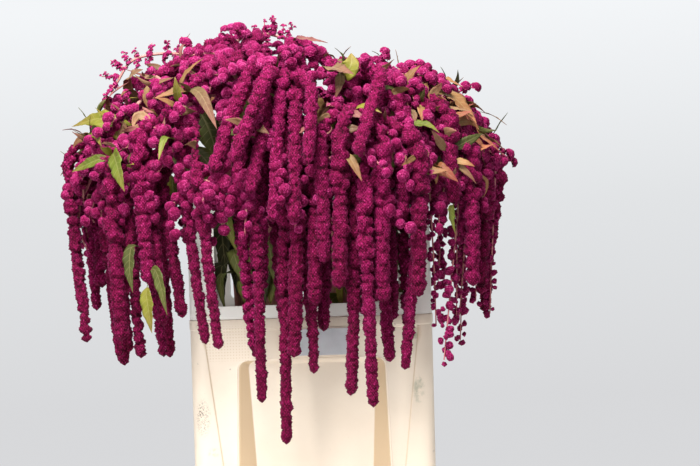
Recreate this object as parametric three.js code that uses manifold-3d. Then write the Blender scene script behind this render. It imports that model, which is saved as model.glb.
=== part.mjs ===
// A bunch of amaranth seed heads (love-lies-bleeding), cut and standing in a flower bucket with a collar.
// Millimetres, +Z up. The origin is the centre of the bucket's underside, and the front faces -Y.

import * as THREE from 'three';
import { mergeVertices } from 'three/addons/utils/BufferGeometryUtils.js';
import Module from 'manifold-3d';

const wasm = await Module();
wasm.setup();

// Driving dimensions of the bucket and its collar. A cutter stands this far out of what it cuts.
const CUTTER = 20;
const RIM = { width: 350, depth: 250, height: 410, corner: 22, bead: 1, beadHeight: 14 };
const FOOT = { width: 346, depth: 246 };
const WALL = 3;
const FLOOR = 5;
// Panels pressed into the front and back: half widths at the face, how far their walls slope in, and depths.
const GUSSET = {
  bottom: 30,
  top: 394,
  faceTop: 155,
  faceBottom: 112,
  insetTop: 2,
  insetBottom: 4,
  slope: 0.4,
  depthTop: 1.2,
  depthBottom: 1.6,
  corner: 1,
};
const RECESS = {
  bottom: 84,
  top: 350,
  faceTop: 105,
  faceBottom: 112,
  insetTop: 14,
  insetBottom: 34,
  slope: 0.4,
  depthTop: 9,
  depthBottom: 24,
  corner: 12,
};
// The plate for a card on the front, and the clear pocket that lies on it.
const CARD_PLATE = { x: 5, width: 102, bottom: 353, height: 44, thickness: 4, proud: 1.5 };
const CARD_POCKET = { margin: 3, thickness: 1.2, gap: 0.3 };
const COLLAR = { bottom: 410.4, top: 584, band: 16, sill: 19, post: 40, lip: 4 };
const WATER_TOP = 75;
const PLASTIC_GAP = 0.5;
const WATER_GAP = 1;
// The holes round the stems run from just below the stems' ends to this share of the way up to the collar.
const WATER_HOLE = { from: -0.1, to: 0.3 };

// The dome that the seed heads fill: its centre, half width, half depth, and rise above its widest level.
const DOME = {
  x: -35,
  halfWidth: 325,
  halfDepth: 262,
  rise: 236,
  level: 600,
  rimSlope: 20,
  rimDepth: 0.03,
};
const LAYER = 22;

// Stems stand on an ellipse inside the bucket, lean on another inside the collar and arch over from there.
const STEM = {
  baseX: 95,
  baseY: 62,
  baseZ: FLOOR + 0.4,
  crownBase: 0.7,
  collarX: 122,
  collarY: 76,
  collarZ: 600,
  radius: 5.5,
  sides: 5,
  share: 0.3,
  gap: 0.5,
};
// A seed head's axis: bare at its start, then clothed in clusters.
const AXIS = {
  bare: 5.5,
  clothed: 10.5,
  tip: 8,
  riser: 135,
  shoulder: 0.75,
  samples: 40,
  stride: 3,
  bareSteps: 3,
  relief: 0.1,
};

// Each ring stem: azimuth in degrees (270 is the front), share of the dome's reach, arch's end height, lift.
const RING_STEMS = [
  [187, 0.95, 590, 190],
  [214, 0.88, 620, 175],
  [241, 0.84, 640, 175],
  [268, 0.84, 650, 190],
  [295, 0.84, 645, 180],
  [322, 0.86, 640, 170],
  [349, 0.9, 600, 175],
  [16, 0.9, 610, 175],
  [44, 0.87, 635, 175],
  [74, 0.85, 645, 180],
  [106, 0.85, 645, 180],
  [134, 0.87, 640, 175],
  [161, 0.91, 610, 180],
];
// Each crown stem: place in the collar, then the arch's end and its lift.
const CROWN_STEMS = [
  [-72, -18, -150, -112, 762, 95],
  [52, -26, 116, -92, 735, 60],
  [58, 22, 150, 78, 728, 70],
  [-58, 26, -165, 92, 750, 95],
  [-6, 2, -72, -12, 788, 42],
];

const STEP = 16;
const STRIDE = 2;
const HIDDEN_STRIDE = 3;
const STRAND_SIDES = 4;
// A tassel springs a few steps back along its axis from the place nearest its top, and widens step by step.
const TASSEL = {
  rootBack: 4,
  neck: 0.55,
  widening: 0.15,
  tip: 0.8,
  outward: 0.55,
  ease: 0.4,
  samples: 12,
  relief: 0.2,
};
const TIP_LENGTH = 0.55;

// Tassels that hang in front: top x and z, tip x and z, radius, and the layers that they lie below the dome.
const FRONT_TASSELS = [
  [-350, 585, -320, 385, 7.9, 0],
  [-315, 605, -290, 355, 7.9, 3],
  [-270, 615, -260, 390, 11.4, 0],
  [-250, 565, -235, 365, 7.9, 1],
  [-230, 550, -205, 365, 6.4, 2],
  [-225, 660, -215, 470, 11.4, 0],
  [-215, 600, -200, 410, 8.6, 1],
  [-200, 600, -175, 420, 9.3, 2],
  [-165, 595, -140, 385, 7.9, 1],
  [-140, 580, -120, 380, 7.9, 0],
  [-65, 750, -110, 610, 11.4, 0],
  [-50, 715, -90, 625, 10.7, -1],
  [-35, 740, -70, 585, 10.0, 0],
  [-85, 655, -95, 565, 12.0, 1],
  [-25, 730, -40, 545, 9.3, 0],
  [-10, 710, -15, 545, 10.0, 0],
  [10, 705, 5, 620, 9.3, -1],
  [30, 650, 30, 490, 10.0, 0],
  [15, 650, 10, 435, 10.7, 1],
  [50, 660, 40, 455, 11.4, 0],
  [25, 550, 20, 395, 9.3, 3],
  [5, 520, 5, 340, 7.9, 2],
  [-10, 560, -20, 365, 10.7, 1],
  [-65, 555, -65, 305, 7.9, 1],
  [-90, 575, -75, 365, 8.6, 2],
  [-30, 540, -35, 245, 8.6, 2],
  [115, 560, 115, 405, 11.4, 3],
  [70, 535, 55, 310, 9.3, 1],
  [80, 520, 85, 295, 9.3, 0],
  [100, 505, 110, 350, 9.3, 2],
  [150, 500, 130, 340, 8.6, 1],
  [105, 635, 100, 435, 11.4, 0],
  [155, 615, 150, 440, 11.4, 0],
  [105, 740, 70, 635, 10.0, -1],
  [230, 630, 230, 450, 12.0, 0],
  [260, 625, 245, 435, 10.0, 1],
  [210, 535, 185, 345, 10.0, 1],
  [215, 530, 210, 395, 7.1, 2],
  [280, 640, 265, 400, 7.9, 2],
  [180, 570, 180, 395, 8.6, 2],
  [240, 570, 220, 395, 7.1, 3],
  [140, 685, 135, 550, 11.4, 0],
  [200, 685, 205, 565, 11.4, 0],
];
// Tassels round the sides and back follow a rule: count, arc that they fill, tops, falls, leans and radii.
const BACK_TASSELS = {
  count: 34,
  from: -8,
  to: 188,
  layers: 3,
  top: 600,
  topSpread: 60,
  shortest: 130,
  longest: 285,
  leastLean: 0.02,
  leanSpread: 0.06,
  thinnest: 8.5,
  thickest: 12,
};
// Tassels that lie over the crown, longer and shorter by turns: the dome shares of their tops and tips, how far
// their tops sink below the dome at its right and left ends, and the share of it that their tips sink.
const CROWN_TASSELS = {
  count: 20,
  top: 0.32,
  lowerTop: 0.52,
  tip: 0.74,
  lowerTip: 0.92,
  sink: [42, 10],
  lowerSink: [45, 40],
  tipSink: 0.25,
  scatter: 0.6,
  thinnest: 9,
  thickest: 11.5,
};
// Short spikes stand out of the upper part of each axis, turned to its left and right.
const SPIKES_PER_STEM = 2;
const SPIKE = {
  shortest: 40,
  longest: 58,
  bead: 9.5,
  neck: 5,
  lowest: 0.25,
  start: 0.3,
  scatter: 0.4,
  leastTurn: 0.3,
  mostTurn: 0.9,
  forward: 0.3,
};

// Leaves among the front tassels: base x and z, tip x and z, half width.
const FRONT_LEAVES = [
  [-270, 700, -334, 690, 12],
  [-278, 642, -324, 626, 7],
  [-304, 682, -284, 648, 8],
  [-258, 652, -234, 592, 11],
  [-154, 730, -200, 716, 6],
  [-164, 738, -128, 762, 5],
  [-136, 736, -108, 672, 10],
  [-182, 670, -190, 632, 5],
  [-174, 790, -162, 820, 3],
  [-258, 758, -220, 762, 9],
  [-288, 728, -240, 746, 5],
  [-16, 804, 36, 788, 5],
  [32, 754, 70, 740, 12],
  [70, 744, 76, 780, 13],
  [186, 744, 222, 728, 9],
  [202, 724, 238, 676, 12],
  [230, 708, 256, 692, 8],
  [180, 614, 206, 594, 9],
  [162, 674, 182, 660, 6],
  [60, 632, 76, 596, 5],
  [156, 634, 128, 616, 3],
  [80, 698, 98, 686, 4],
  [-236, 524, -226, 456, 9],
  [-216, 464, -206, 402, 9],
  [-198, 492, -184, 426, 7],
  [190, 550, 200, 522, 6],
];
// Leaves on the back and sides follow a rule, and so do those on the bare stems inside the collar.
const BACK_LEAVES = {
  count: 10,
  from: 2,
  to: 178,
  turn: 9,
  low: 590,
  high: 745,
  shortest: 40,
  longest: 62,
  overhang: 1.08,
  droop: 0.8,
  narrowest: 6,
  widest: 11,
};
const STEM_LEAVES = {
  count: 2,
  low: 470,
  high: 565,
  turn: 1.1,
  out: 22,
  bend: 0.8,
  rise: 8,
  reach: 1.1,
  fall: 44,
  halfWidth: 8,
};
const LEAF = {
  thickness: 1.2,
  fold: 0.25,
  shares: [0.36, 0.66],
  widths: [1, 0.85],
  reach: 0.2,
  rise: 8,
  layersOut: 0.7,
  samples: 10,
  mostRadius: 9,
};
// How the strands settle: rounds, gaps that they keep, how far a push goes, and the calmer last rounds.
const RELAX = {
  rounds: 160,
  refresh: 8,
  reach: 16,
  apart: 3,
  same: 1,
  rootSteps: 3,
  push: 0.35,
  collarGap: 14,
  calmRounds: 40,
  calm: 0.3,
};

const fraction = (value) => value - Math.floor(value);
const spread = (index, salt) => fraction((index + 1) * 0.6180339887 + salt * 0.7548776662);
const mix = (a, b, t) => a + (b - a) * t;
const add = (a, b, scale = 1) => [a[0] + b[0] * scale, a[1] + b[1] * scale, a[2] + b[2] * scale];
const minus = (a, b) => [a[0] - b[0], a[1] - b[1], a[2] - b[2]];
const length = (a) => Math.sqrt(a[0] * a[0] + a[1] * a[1] + a[2] * a[2]);
const unit = (a) => {
  const size = length(a);
  return [a[0] / size, a[1] / size, a[2] / size];
};
const cross = (a, b) => [a[1] * b[2] - a[2] * b[1], a[2] * b[0] - a[0] * b[2], a[0] * b[1] - a[1] * b[0]];

function bezier(p0, p1, p2, p3, t) {
  const s = 1 - t;
  const w = [s * s * s, 3 * s * s * t, 3 * s * t * t, t * t * t];
  return [0, 1, 2].map((i) => w[0] * p0[i] + w[1] * p1[i] + w[2] * p2[i] + w[3] * p3[i]);
}

// Points a fixed step apart along a polyline, with the last one at its end.
function resample(points, step) {
  const far = [0];
  for (let i = 1; i < points.length; i++) far.push(far[i - 1] + length(minus(points[i], points[i - 1])));
  const total = far[far.length - 1];
  const count = Math.max(2, Math.round(total / step));
  const made = [];
  let j = 1;
  for (let i = 0; i <= count; i++) {
    const s = (total * i) / count;
    while (j < points.length - 1 && far[j] < s) j++;
    const t = (s - far[j - 1]) / (far[j] - far[j - 1]);
    made.push(add(points[j - 1], minus(points[j], points[j - 1]), t));
  }
  return made;
}

// The curve of one stem: straight from the bucket's floor to the collar, then an arch out over the rim.
function stemCurve(base, collar, end, lift) {
  const up = unit(minus(collar, base));
  const riser = add(collar, up, AXIS.riser);
  const shoulder = [
    DOME.x + (end[0] - DOME.x) * AXIS.shoulder,
    end[1] * AXIS.shoulder,
    end[2] + lift,
  ];
  const arch = (t) => bezier(collar, riser, shoulder, end, t);
  const wayUp = unit(minus(arch(STEM.share + 0.01), arch(STEM.share - 0.01)));
  return { base, collar, arch, wayUp };
}

function ringStem([azimuth, reach, endHeight, lift]) {
  const c = Math.cos((azimuth * Math.PI) / 180);
  const s = Math.sin((azimuth * Math.PI) / 180);
  return stemCurve(
    [STEM.baseX * c, STEM.baseY * s, STEM.baseZ],
    [STEM.collarX * c, STEM.collarY * s, STEM.collarZ],
    [DOME.x + DOME.halfWidth * reach * c, DOME.halfDepth * reach * s, endHeight],
    lift,
  );
}

function crownStem([x, y, endX, endY, endZ, lift]) {
  const base = [x * STEM.crownBase, y * STEM.crownBase, STEM.baseZ];
  return stemCurve(base, [x, y, STEM.collarZ], [endX, endY, endZ], lift);
}

const stems = [...RING_STEMS.map(ringStem), ...CROWN_STEMS.map(crownStem)];

// How far forward the dome's front lies at a place seen from the front, for a layer below its surface.
function domeDepth(x, z, layer) {
  const a = DOME.halfWidth - layer * LAYER;
  const b = DOME.halfDepth - layer * LAYER;
  const c = DOME.rise - layer * LAYER;
  const across = (x - DOME.x) / a;
  const above = Math.max(0, z - DOME.level) / c;
  return -b * Math.sqrt(Math.max(DOME.rimDepth, 1 - across * across - above * above));
}

function domeNormal(p) {
  const { halfWidth: a, halfDepth: b, rise: c } = DOME;
  const up = Math.max(DOME.rimSlope, p[2] - DOME.level);
  return unit([(p[0] - DOME.x) / (a * a), p[1] / (b * b), up / (c * c)]);
}

// The arching axis of one seed head, as straight chords, each with a few steps of points.
function seedHeadAxis(stem, head) {
  const curve = [];
  for (let i = 0; i <= AXIS.samples; i++) curve.push(stem.arch(mix(STEM.share, 1, i / AXIS.samples)));
  const chords = resample(curve, STEP * AXIS.stride);
  const points = [chords[0]];
  for (let i = 1; i < chords.length; i++) {
    for (let j = 1; j <= AXIS.stride; j++) {
      points.push(add(chords[i - 1], minus(chords[i], chords[i - 1]), j / AXIS.stride));
    }
  }
  const clothedRadius = (k) => mix(AXIS.clothed, AXIS.tip, k / points.length);
  const radii = points.map((_, k) => (k <= AXIS.bareSteps ? AXIS.bare : clothedRadius(k)));
  return { head, kind: 'axis', points, radii, startWay: stem.wayUp };
}

const axes = stems.map(seedHeadAxis);

// The seed head whose axis lies nearest to a point, and the place a little way back along that axis.
function rootFor(point) {
  let best = { distance: Infinity };
  axes.forEach((axis, head) => {
    axis.points.forEach((place, k) => {
      const distance = length(minus(place, point));
      if (k >= AXIS.bareSteps && distance < best.distance) best = { distance, head, k };
    });
  });
  const k = Math.max(AXIS.bareSteps + 1, best.k - TASSEL.rootBack);
  return { head: best.head, root: axes[best.head].points[k] };
}

// A tassel springs from its seed head's axis, runs out over the dome to its top and hangs down to its tip.
function tasselPath(root, top, tip) {
  const span = length(minus(top, root));
  const outward = add(minus(top, root), domeNormal(top), span * TASSEL.outward);
  const leave = add(root, unit(outward), span * TASSEL.ease);
  const arrive = add(top, unit(minus(tip, top)), -span * TASSEL.ease);
  const points = [];
  const { samples } = TASSEL;
  for (let i = 0; i <= samples; i++) points.push(bezier(root, leave, arrive, top, i / samples));
  points.push(tip);
  return resample(points, STEP);
}

function tassel(top, tip, radius, layer) {
  const { head, root } = rootFor(top);
  const points = tasselPath(root, top, tip);
  const radii = points.map((_, k) => radius * Math.min(1, TASSEL.neck + TASSEL.widening * k));
  radii[radii.length - 1] = radius * TASSEL.tip;
  return { head, kind: 'tassel', points, radii, stride: layer > 1 ? HIDDEN_STRIDE : STRIDE };
}

function frontTassel([topX, topZ, tipX, tipZ, radius, layer]) {
  const top = [topX, domeDepth(topX, topZ, layer), topZ];
  const tip = [tipX, domeDepth(tipX, tipZ, layer), tipZ];
  return tassel(top, tip, radius, layer);
}

// A place on the dome at an angle in degrees and a share of the way out from its centre.
function domePlace(degrees, share, z) {
  const angle = (degrees * Math.PI) / 180;
  const x = DOME.x + DOME.halfWidth * share * Math.cos(angle);
  return [x, DOME.halfDepth * share * Math.sin(angle), z];
}

const domeHeight = (share) => DOME.level + DOME.rise * Math.sqrt(1 - share * share);

function backTassel(index) {
  const rule = BACK_TASSELS;
  const angle = mix(rule.from, rule.to, (index + 0.5) / rule.count);
  const layer = index % rule.layers;
  const share = 1 - (layer * LAYER) / DOME.halfDepth;
  const inward = rule.leastLean + rule.leanSpread * spread(index, 3);
  const top = rule.top + rule.topSpread * spread(index, 1);
  const fall = mix(rule.shortest, rule.longest, spread(index, 2));
  const radius = mix(rule.thinnest, rule.thickest, spread(index, 4));
  const tip = domePlace(angle, share * (1 - inward), top - fall);
  return tassel(domePlace(angle, share, top), tip, radius, layer);
}

function crownTassel(index) {
  const rule = CROWN_TASSELS;
  const angle = (360 * (index + rule.scatter * spread(index, 9))) / rule.count;
  const start = index % 2 ? rule.lowerTop : rule.top;
  const end = index % 2 ? rule.lowerTip : rule.tip;
  const radius = mix(rule.thinnest, rule.thickest, spread(index, 10));
  const across = Math.cos((angle * Math.PI) / 180);
  const [right, left] = index % 2 ? rule.lowerSink : rule.sink;
  const sunk = across > 0 ? right * across : -left * across;
  const top = domePlace(angle, start, domeHeight(start) - sunk);
  const tip = domePlace(angle, end, domeHeight(end) - sunk * rule.tipSink);
  return tassel(top, tip, radius, 0);
}

// A short side branch that carries a few round clusters out past the dome's surface.
function spike(head, index) {
  const { points: axis } = axes[head];
  const order = head * SPIKES_PER_STEM + index;
  const share = (index + SPIKE.start + SPIKE.scatter * spread(order, 5)) / SPIKES_PER_STEM;
  const k = Math.round(mix(SPIKE.lowest, 1, share) * (axis.length - 1));
  const along = unit(minus(axis[k], axis[k - 1]));
  const normal = domeNormal(axis[k]);
  const side = cross(along, normal);
  const turn = (index % 2 ? 1 : -1) * mix(SPIKE.leastTurn, SPIKE.mostTurn, spread(order, 6));
  const way = unit(add(add(normal, side, turn), along, SPIKE.forward));
  const size = mix(SPIKE.shortest, SPIKE.longest, spread(order, 7));
  const placed = resample([axis[k], add(axis[k], way, size)], STEP);
  const radii = placed.map((_, n) => ((placed.length - 1 - n) % 2 ? SPIKE.neck : SPIKE.bead));
  return { head, kind: 'spike', points: placed, radii };
}

// The stem below its seed head: straight up to the collar's top, then the first part of the arch.
function stalk({ base, collar, arch, wayUp }, head) {
  const top = add(arch(STEM.share), wayUp, -STEM.gap);
  const points = [base, collar, arch(STEM.share / 2), top];
  return { head, kind: 'stalk', points, radii: points.map(() => STEM.radius), endWay: wayUp };
}

// A leaf on the bare stem, which hangs outward inside the collar.
function stemLeaf({ base, collar }, head, index) {
  const rule = STEM_LEAVES;
  const z = mix(rule.low, rule.high, spread(head * rule.count + index, 15));
  const place = add(base, minus(collar, base), (z - base[2]) / (collar[2] - base[2]));
  const turn = mix(-rule.turn, rule.turn, spread(head * rule.count + index, 16));
  const angle = Math.atan2(place[1], place[0]) + turn;
  const out = [rule.out * Math.cos(angle), rule.out * Math.sin(angle), 0];
  const bend = add(add(place, out, rule.bend), [0, 0, rule.rise]);
  const tip = add(add(place, out, rule.reach), [0, 0, -rule.fall]);
  const points = [0, 1, 2, 3, 4].map((i) => bezier(place, bend, bend, tip, i / 4));
  return { head, kind: 'leaf', points, halfWidth: rule.halfWidth };
}

function growStrands() {
  const strands = [...axes];
  FRONT_TASSELS.forEach((row) => strands.push(frontTassel(row)));
  for (let i = 0; i < BACK_TASSELS.count; i++) strands.push(backTassel(i));
  for (let i = 0; i < CROWN_TASSELS.count; i++) strands.push(crownTassel(i));
  stems.forEach((_, head) => {
    for (let i = 0; i < SPIKES_PER_STEM; i++) strands.push(spike(head, i));
  });
  return strands;
}

// A leaf grows from the nearest settled strand and lies over its neighbours out to its tip.
function leaf(strands, base, tip, halfWidth) {
  let best = { distance: Infinity };
  strands.forEach((strand) => {
    if (strand.kind === 'spike') return;
    strand.points.forEach((place, k) => {
      const distance = length(minus(place, base));
      if (k > 1 && distance < best.distance) best = { distance, head: strand.head, place };
    });
  });
  const rise = add(base, domeNormal(base), LEAF.rise);
  const points = [];
  const { samples } = LEAF;
  for (let i = 0; i <= samples; i++) points.push(bezier(best.place, rise, rise, tip, i / samples));
  const placed = resample(points, STEP);
  const radii = placed.map(() => Math.min(LEAF.mostRadius, halfWidth + 1));
  return { head: best.head, kind: 'leaf', points: placed, radii, halfWidth };
}

function frontLeaf(strands, [baseX, baseZ, tipX, tipZ, halfWidth]) {
  const base = [baseX, domeDepth(baseX, baseZ, 0), baseZ];
  const tip = [tipX, domeDepth(tipX, tipZ, -LEAF.layersOut), tipZ];
  return leaf(strands, base, tip, halfWidth);
}

function backLeaf(strands, index) {
  const rule = BACK_LEAVES;
  const z = mix(rule.low, rule.high, spread(index, 11));
  const angle = mix(rule.from, rule.to, (index + 0.5) / rule.count);
  const share = Math.sqrt(1 - ((Math.max(z, DOME.level) - DOME.level) / DOME.rise) ** 2);
  const size = mix(rule.shortest, rule.longest, spread(index, 12));
  const turn = mix(-rule.turn, rule.turn, spread(index, 13));
  const tip = domePlace(angle + turn, share * rule.overhang, z - size * rule.droop);
  const halfWidth = mix(rule.narrowest, rule.widest, spread(index, 14));
  return leaf(strands, domePlace(angle, share, z), tip, halfWidth);
}

// Pushes neighbouring strands apart until none crosses another, as hanging tassels settle side by side.
function settle(strands, isLoose) {
  const beads = [];
  strands.forEach((strand, s) => {
    strand.points.forEach((p, k) => {
      const loose = isLoose(strand) ? Math.min(1, k / RELAX.rootSteps) : 0;
      beads.push({ s, k, head: strand.head, loose, radius: strand.radii[k], rest: p.slice(), at: p });
    });
  });
  const gapOf = (a, b) => {
    if (a.head !== b.head) return RELAX.apart;
    return Math.min(a.k, b.k) < RELAX.rootSteps ? -Infinity : RELAX.same;
  };
  let pairs = [];
  for (let round = 0; round < RELAX.rounds; round++) {
    if (round % RELAX.refresh === 0) pairs = nearPairs(beads, gapOf);
    const push = beads.map(() => [0, 0, 0]);
    for (const [i, j, wanted] of pairs) {
      const a = beads[i];
      const b = beads[j];
      const way = minus(a.at, b.at);
      const far = length(way);
      if (far >= wanted) continue;
      const move = (RELAX.push * (wanted - far)) / far;
      push[i] = add(push[i], way, move);
      push[j] = add(push[j], way, -move);
    }
    beads.forEach((bead, i) => {
      bead.at = add(bead.at, push[i], bead.loose);
      if (bead.loose > 0) bead.at = outsideCollar(bead.at, bead.radius);
    });
    smooth(beads, round < RELAX.rounds - RELAX.calmRounds ? 1 : RELAX.calm);
  }
  beads.forEach((bead) => {
    strands[bead.s].points[bead.k] = bead.at;
  });
}

function nearPairs(beads, gapOf) {
  const pairs = [];
  for (let i = 0; i < beads.length; i++) {
    const a = beads[i];
    for (let j = i + 1; j < beads.length; j++) {
      const b = beads[j];
      if (a.s === b.s || a.loose + b.loose === 0) continue;
      const wanted = a.radius + b.radius + gapOf(a, b);
      if (!(wanted > 0)) continue;
      const near = wanted + RELAX.reach;
      const dx = a.at[0] - b.at[0];
      const dy = a.at[1] - b.at[1];
      const dz = a.at[2] - b.at[2];
      if (dx * dx + dy * dy + dz * dz < near * near) pairs.push([i, j, wanted]);
    }
  }
  return pairs;
}

// Keeps a bead out of the bucket and its collar.
function outsideCollar(p, radius) {
  const outX = RIM.width / 2 + radius + RELAX.collarGap;
  const outY = RIM.depth / 2 + radius + RELAX.collarGap;
  if (p[2] > COLLAR.top + radius) return p;
  if (Math.abs(p[0]) >= outX || Math.abs(p[1]) >= outY) return p;
  const gapX = outX - Math.abs(p[0]);
  const gapY = outY - Math.abs(p[1]);
  if (gapX < gapY) return [Math.sign(p[0]) * outX, p[1], p[2]];
  return [p[0], Math.sign(p[1]) * outY, p[2]];
}

// Evens out how far neighbouring beads of one strand have moved, so that it bends smoothly.
function smooth(beads, amount) {
  const moved = beads.map((bead) => minus(bead.at, bead.rest));
  beads.forEach((bead, i) => {
    if (bead.loose === 0) return;
    const before = i > 0 && beads[i - 1].s === bead.s ? moved[i - 1] : moved[i];
    const after = i + 1 < beads.length && beads[i + 1].s === bead.s ? moved[i + 1] : moved[i];
    const even = [0, 1, 2].map((n) => (before[n] + 2 * moved[i][n] + after[n]) / 4);
    bead.at = [0, 1, 2].map((n) => bead.rest[n] + mix(moved[i][n], even[n], amount));
  });
}

// A closed body from rings of points, with a flat fan at the start and a fan to a point at the end.
function ringBody(rings, startPoint, endPoint) {
  const sides = rings[0].length;
  const position = [...rings.flat(), startPoint, endPoint].flat();
  const start = rings.length * sides;
  const index = [];
  for (let i = 0; i < sides; i++) {
    const j = (i + 1) % sides;
    index.push(start, j, i);
    const last = (rings.length - 1) * sides;
    index.push(start + 1, last + i, last + j);
    for (let k = 0; k + 1 < rings.length; k++) {
      const here = k * sides;
      const next = here + sides;
      index.push(here + i, here + j, next + j, here + i, next + j, next + i);
    }
  }
  return new THREE.BufferGeometry()
    .setAttribute('position', new THREE.Float32BufferAttribute(position, 3))
    .setIndex(index);
}

function wayAt({ points, startWay, endWay }, k) {
  const last = points.length - 1;
  if (k === 0 && startWay) return startWay;
  if (k === last && endWay) return endWay;
  return unit(minus(points[Math.min(last, k + 1)], points[Math.max(0, k - 1)]));
}

// A direction that no strand starts along, so that every tube has a first side.
const SIDE_HINT = [0.31, 0.95, 0.05];

// A tube along a strand whose corners stand in and out by turns, as its clusters of florets do.
function strandBody(strand, sides, stride, relief) {
  const { points, radii } = strand;
  const last = points.length - 1;
  const stops = [];
  for (let k = 0; k < last - stride / 2; k += stride) stops.push(k);
  stops.push(last);
  let across = cross(SIDE_HINT, unit(minus(points[1], points[0])));
  const rings = stops.map((k, n) => {
    const along = wayAt(strand, k);
    const dot = across[0] * along[0] + across[1] * along[1] + across[2] * along[2];
    across = unit(add(across, along, -dot));
    const over = cross(along, across);
    const ring = [];
    for (let i = 0; i < sides; i++) {
      const angle = (2 * Math.PI * i) / sides;
      const radius = radii[k] * ((i + n) % 2 ? 1 + relief / 2 : 1 - relief / 2);
      ring.push(add(add(points[k], across, radius * Math.cos(angle)), over, radius * Math.sin(angle)));
    }
    return ring;
  });
  const tipWay = unit(minus(points[last], points[last - 1]));
  const tipLength = strand.kind === 'stalk' ? 0 : radii[last] * TIP_LENGTH;
  return ringBody(rings, points[0], add(points[last], tipWay, tipLength));
}

// A thin lance-shaped blade, folded a little along its midrib.
function leafBody({ points, halfWidth }) {
  const last = points.length - 1;
  const placeAt = (share) => {
    const k = Math.min(last - 1, Math.floor(share * last));
    return add(points[k], minus(points[k + 1], points[k]), share * last - k);
  };
  const side = unit(cross(minus(points[last], points[0]), domeNormal(placeAt(0.5))));
  const rings = LEAF.shares.map((share, n) => {
    const place = placeAt(share);
    const along = unit(minus(placeAt(share + LEAF.reach), placeAt(share - LEAF.reach)));
    const face = unit(cross(side, along));
    const half = halfWidth * LEAF.widths[n];
    const edge = add(place, face, half * LEAF.fold);
    const under = add(place, face, -LEAF.thickness);
    const low = add(edge, face, -LEAF.thickness);
    const top = [add(edge, side, -half), place, add(edge, side, half)];
    const bottom = [add(low, side, half), under, add(low, side, -half)];
    return [...top, ...bottom];
  });
  return ringBody(rings, points[0], points[last]);
}

function solid(geometry) {
  const bare = geometry.index ? geometry.toNonIndexed() : geometry;
  const position = new THREE.BufferGeometry().setAttribute('position', bare.getAttribute('position'));
  const merged = mergeVertices(position, 1e-3);
  const mesh = new wasm.Mesh({
    numProp: 3,
    vertProperties: merged.attributes.position.array,
    triVerts: new Uint32Array(merged.index.array),
  });
  return new wasm.Manifold(mesh);
}

function geometryOf(body) {
  const { numProp, vertProperties, triVerts, numVert } = body.getMesh();
  const position = new Float32Array(numVert * 3);
  for (let i = 0; i < numVert; i++) {
    position.set(vertProperties.subarray(i * numProp, i * numProp + 3), i * 3);
  }
  return new THREE.BufferGeometry()
    .setAttribute('position', new THREE.BufferAttribute(position, 3))
    .setIndex(new THREE.BufferAttribute(triVerts, 1));
}

// A rectangle with round corners, as a list of points at one height.
function roundRectangle(width, depth, corner, z) {
  const steps = 2;
  const points = [];
  [[1, 1], [-1, 1], [-1, -1], [1, -1]].forEach(([sx, sy], quarter) => {
    for (let i = 0; i <= steps; i++) {
      const angle = (Math.PI / 2) * (quarter + i / steps);
      points.push([
        sx * (width / 2 - corner) + corner * Math.cos(angle),
        sy * (depth / 2 - corner) + corner * Math.sin(angle),
        z,
      ]);
    }
  });
  return points;
}

// A solid through rounded rectangles at rising heights: [width, depth, height] each.
function loft(levels, corner) {
  const rings = levels.map(([width, depth, z]) => roundRectangle(width, depth, corner, z));
  const lowest = levels[0][2];
  const highest = levels[levels.length - 1][2];
  return solid(ringBody(rings, [0, 0, lowest], [0, 0, highest]));
}

function box(width, depth, height, x, y, z) {
  return solid(new THREE.BoxGeometry(width, depth, height).translate(x, y, z));
}

const widthAt = (z) => mix(FOOT.width, RIM.width, z / RIM.height);
const depthAt = (z) => mix(FOOT.depth, RIM.depth, z / RIM.height);

function middleOf(ring) {
  return [0, 1, 2].map((n) => ring.reduce((sum, point) => sum + point[n], 0) / ring.length);
}

// A panel pressed into the front (side -1) or back wall, with round top corners and sloping sides.
function pressedPanel(panel, side, grow) {
  const corner = panel.corner + grow;
  const half = panel.faceTop + grow;
  const top = panel.top + grow;
  const bottom = panel.bottom - grow;
  const outline = [];
  for (let i = 0; i <= 2; i++) {
    const angle = (Math.PI / 4) * i;
    outline.push([half - corner + corner * Math.cos(angle), top - corner + corner * Math.sin(angle)]);
  }
  for (let i = 2; i >= 0; i--) outline.push([-outline[i][0], outline[i][1]]);
  outline.push([-half, bottom], [half, bottom]);
  const ringAt = (share) =>
    outline.map(([x, z]) => {
      const down = (top - z) / (top - bottom);
      const face = mix(panel.faceTop, panel.faceBottom, down) + grow;
      const inset = share * mix(panel.insetTop, panel.insetBottom, down);
      const depth = mix(panel.depthTop, panel.depthBottom, down) + grow;
      const rise = z > (top + bottom) / 2 ? -1 : 1;
      const y = share ? RIM.depth / 2 - depth : RIM.depth / 2 + CUTTER;
      return [(x / half) * (face - inset), side * y, z + rise * share * panel.insetTop * panel.slope];
    });
  const rings = side < 0 ? [ringAt(1), ringAt(0)] : [ringAt(0), ringAt(1)];
  return solid(ringBody(rings, middleOf(rings[0]), middleOf(rings[1])));
}

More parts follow.
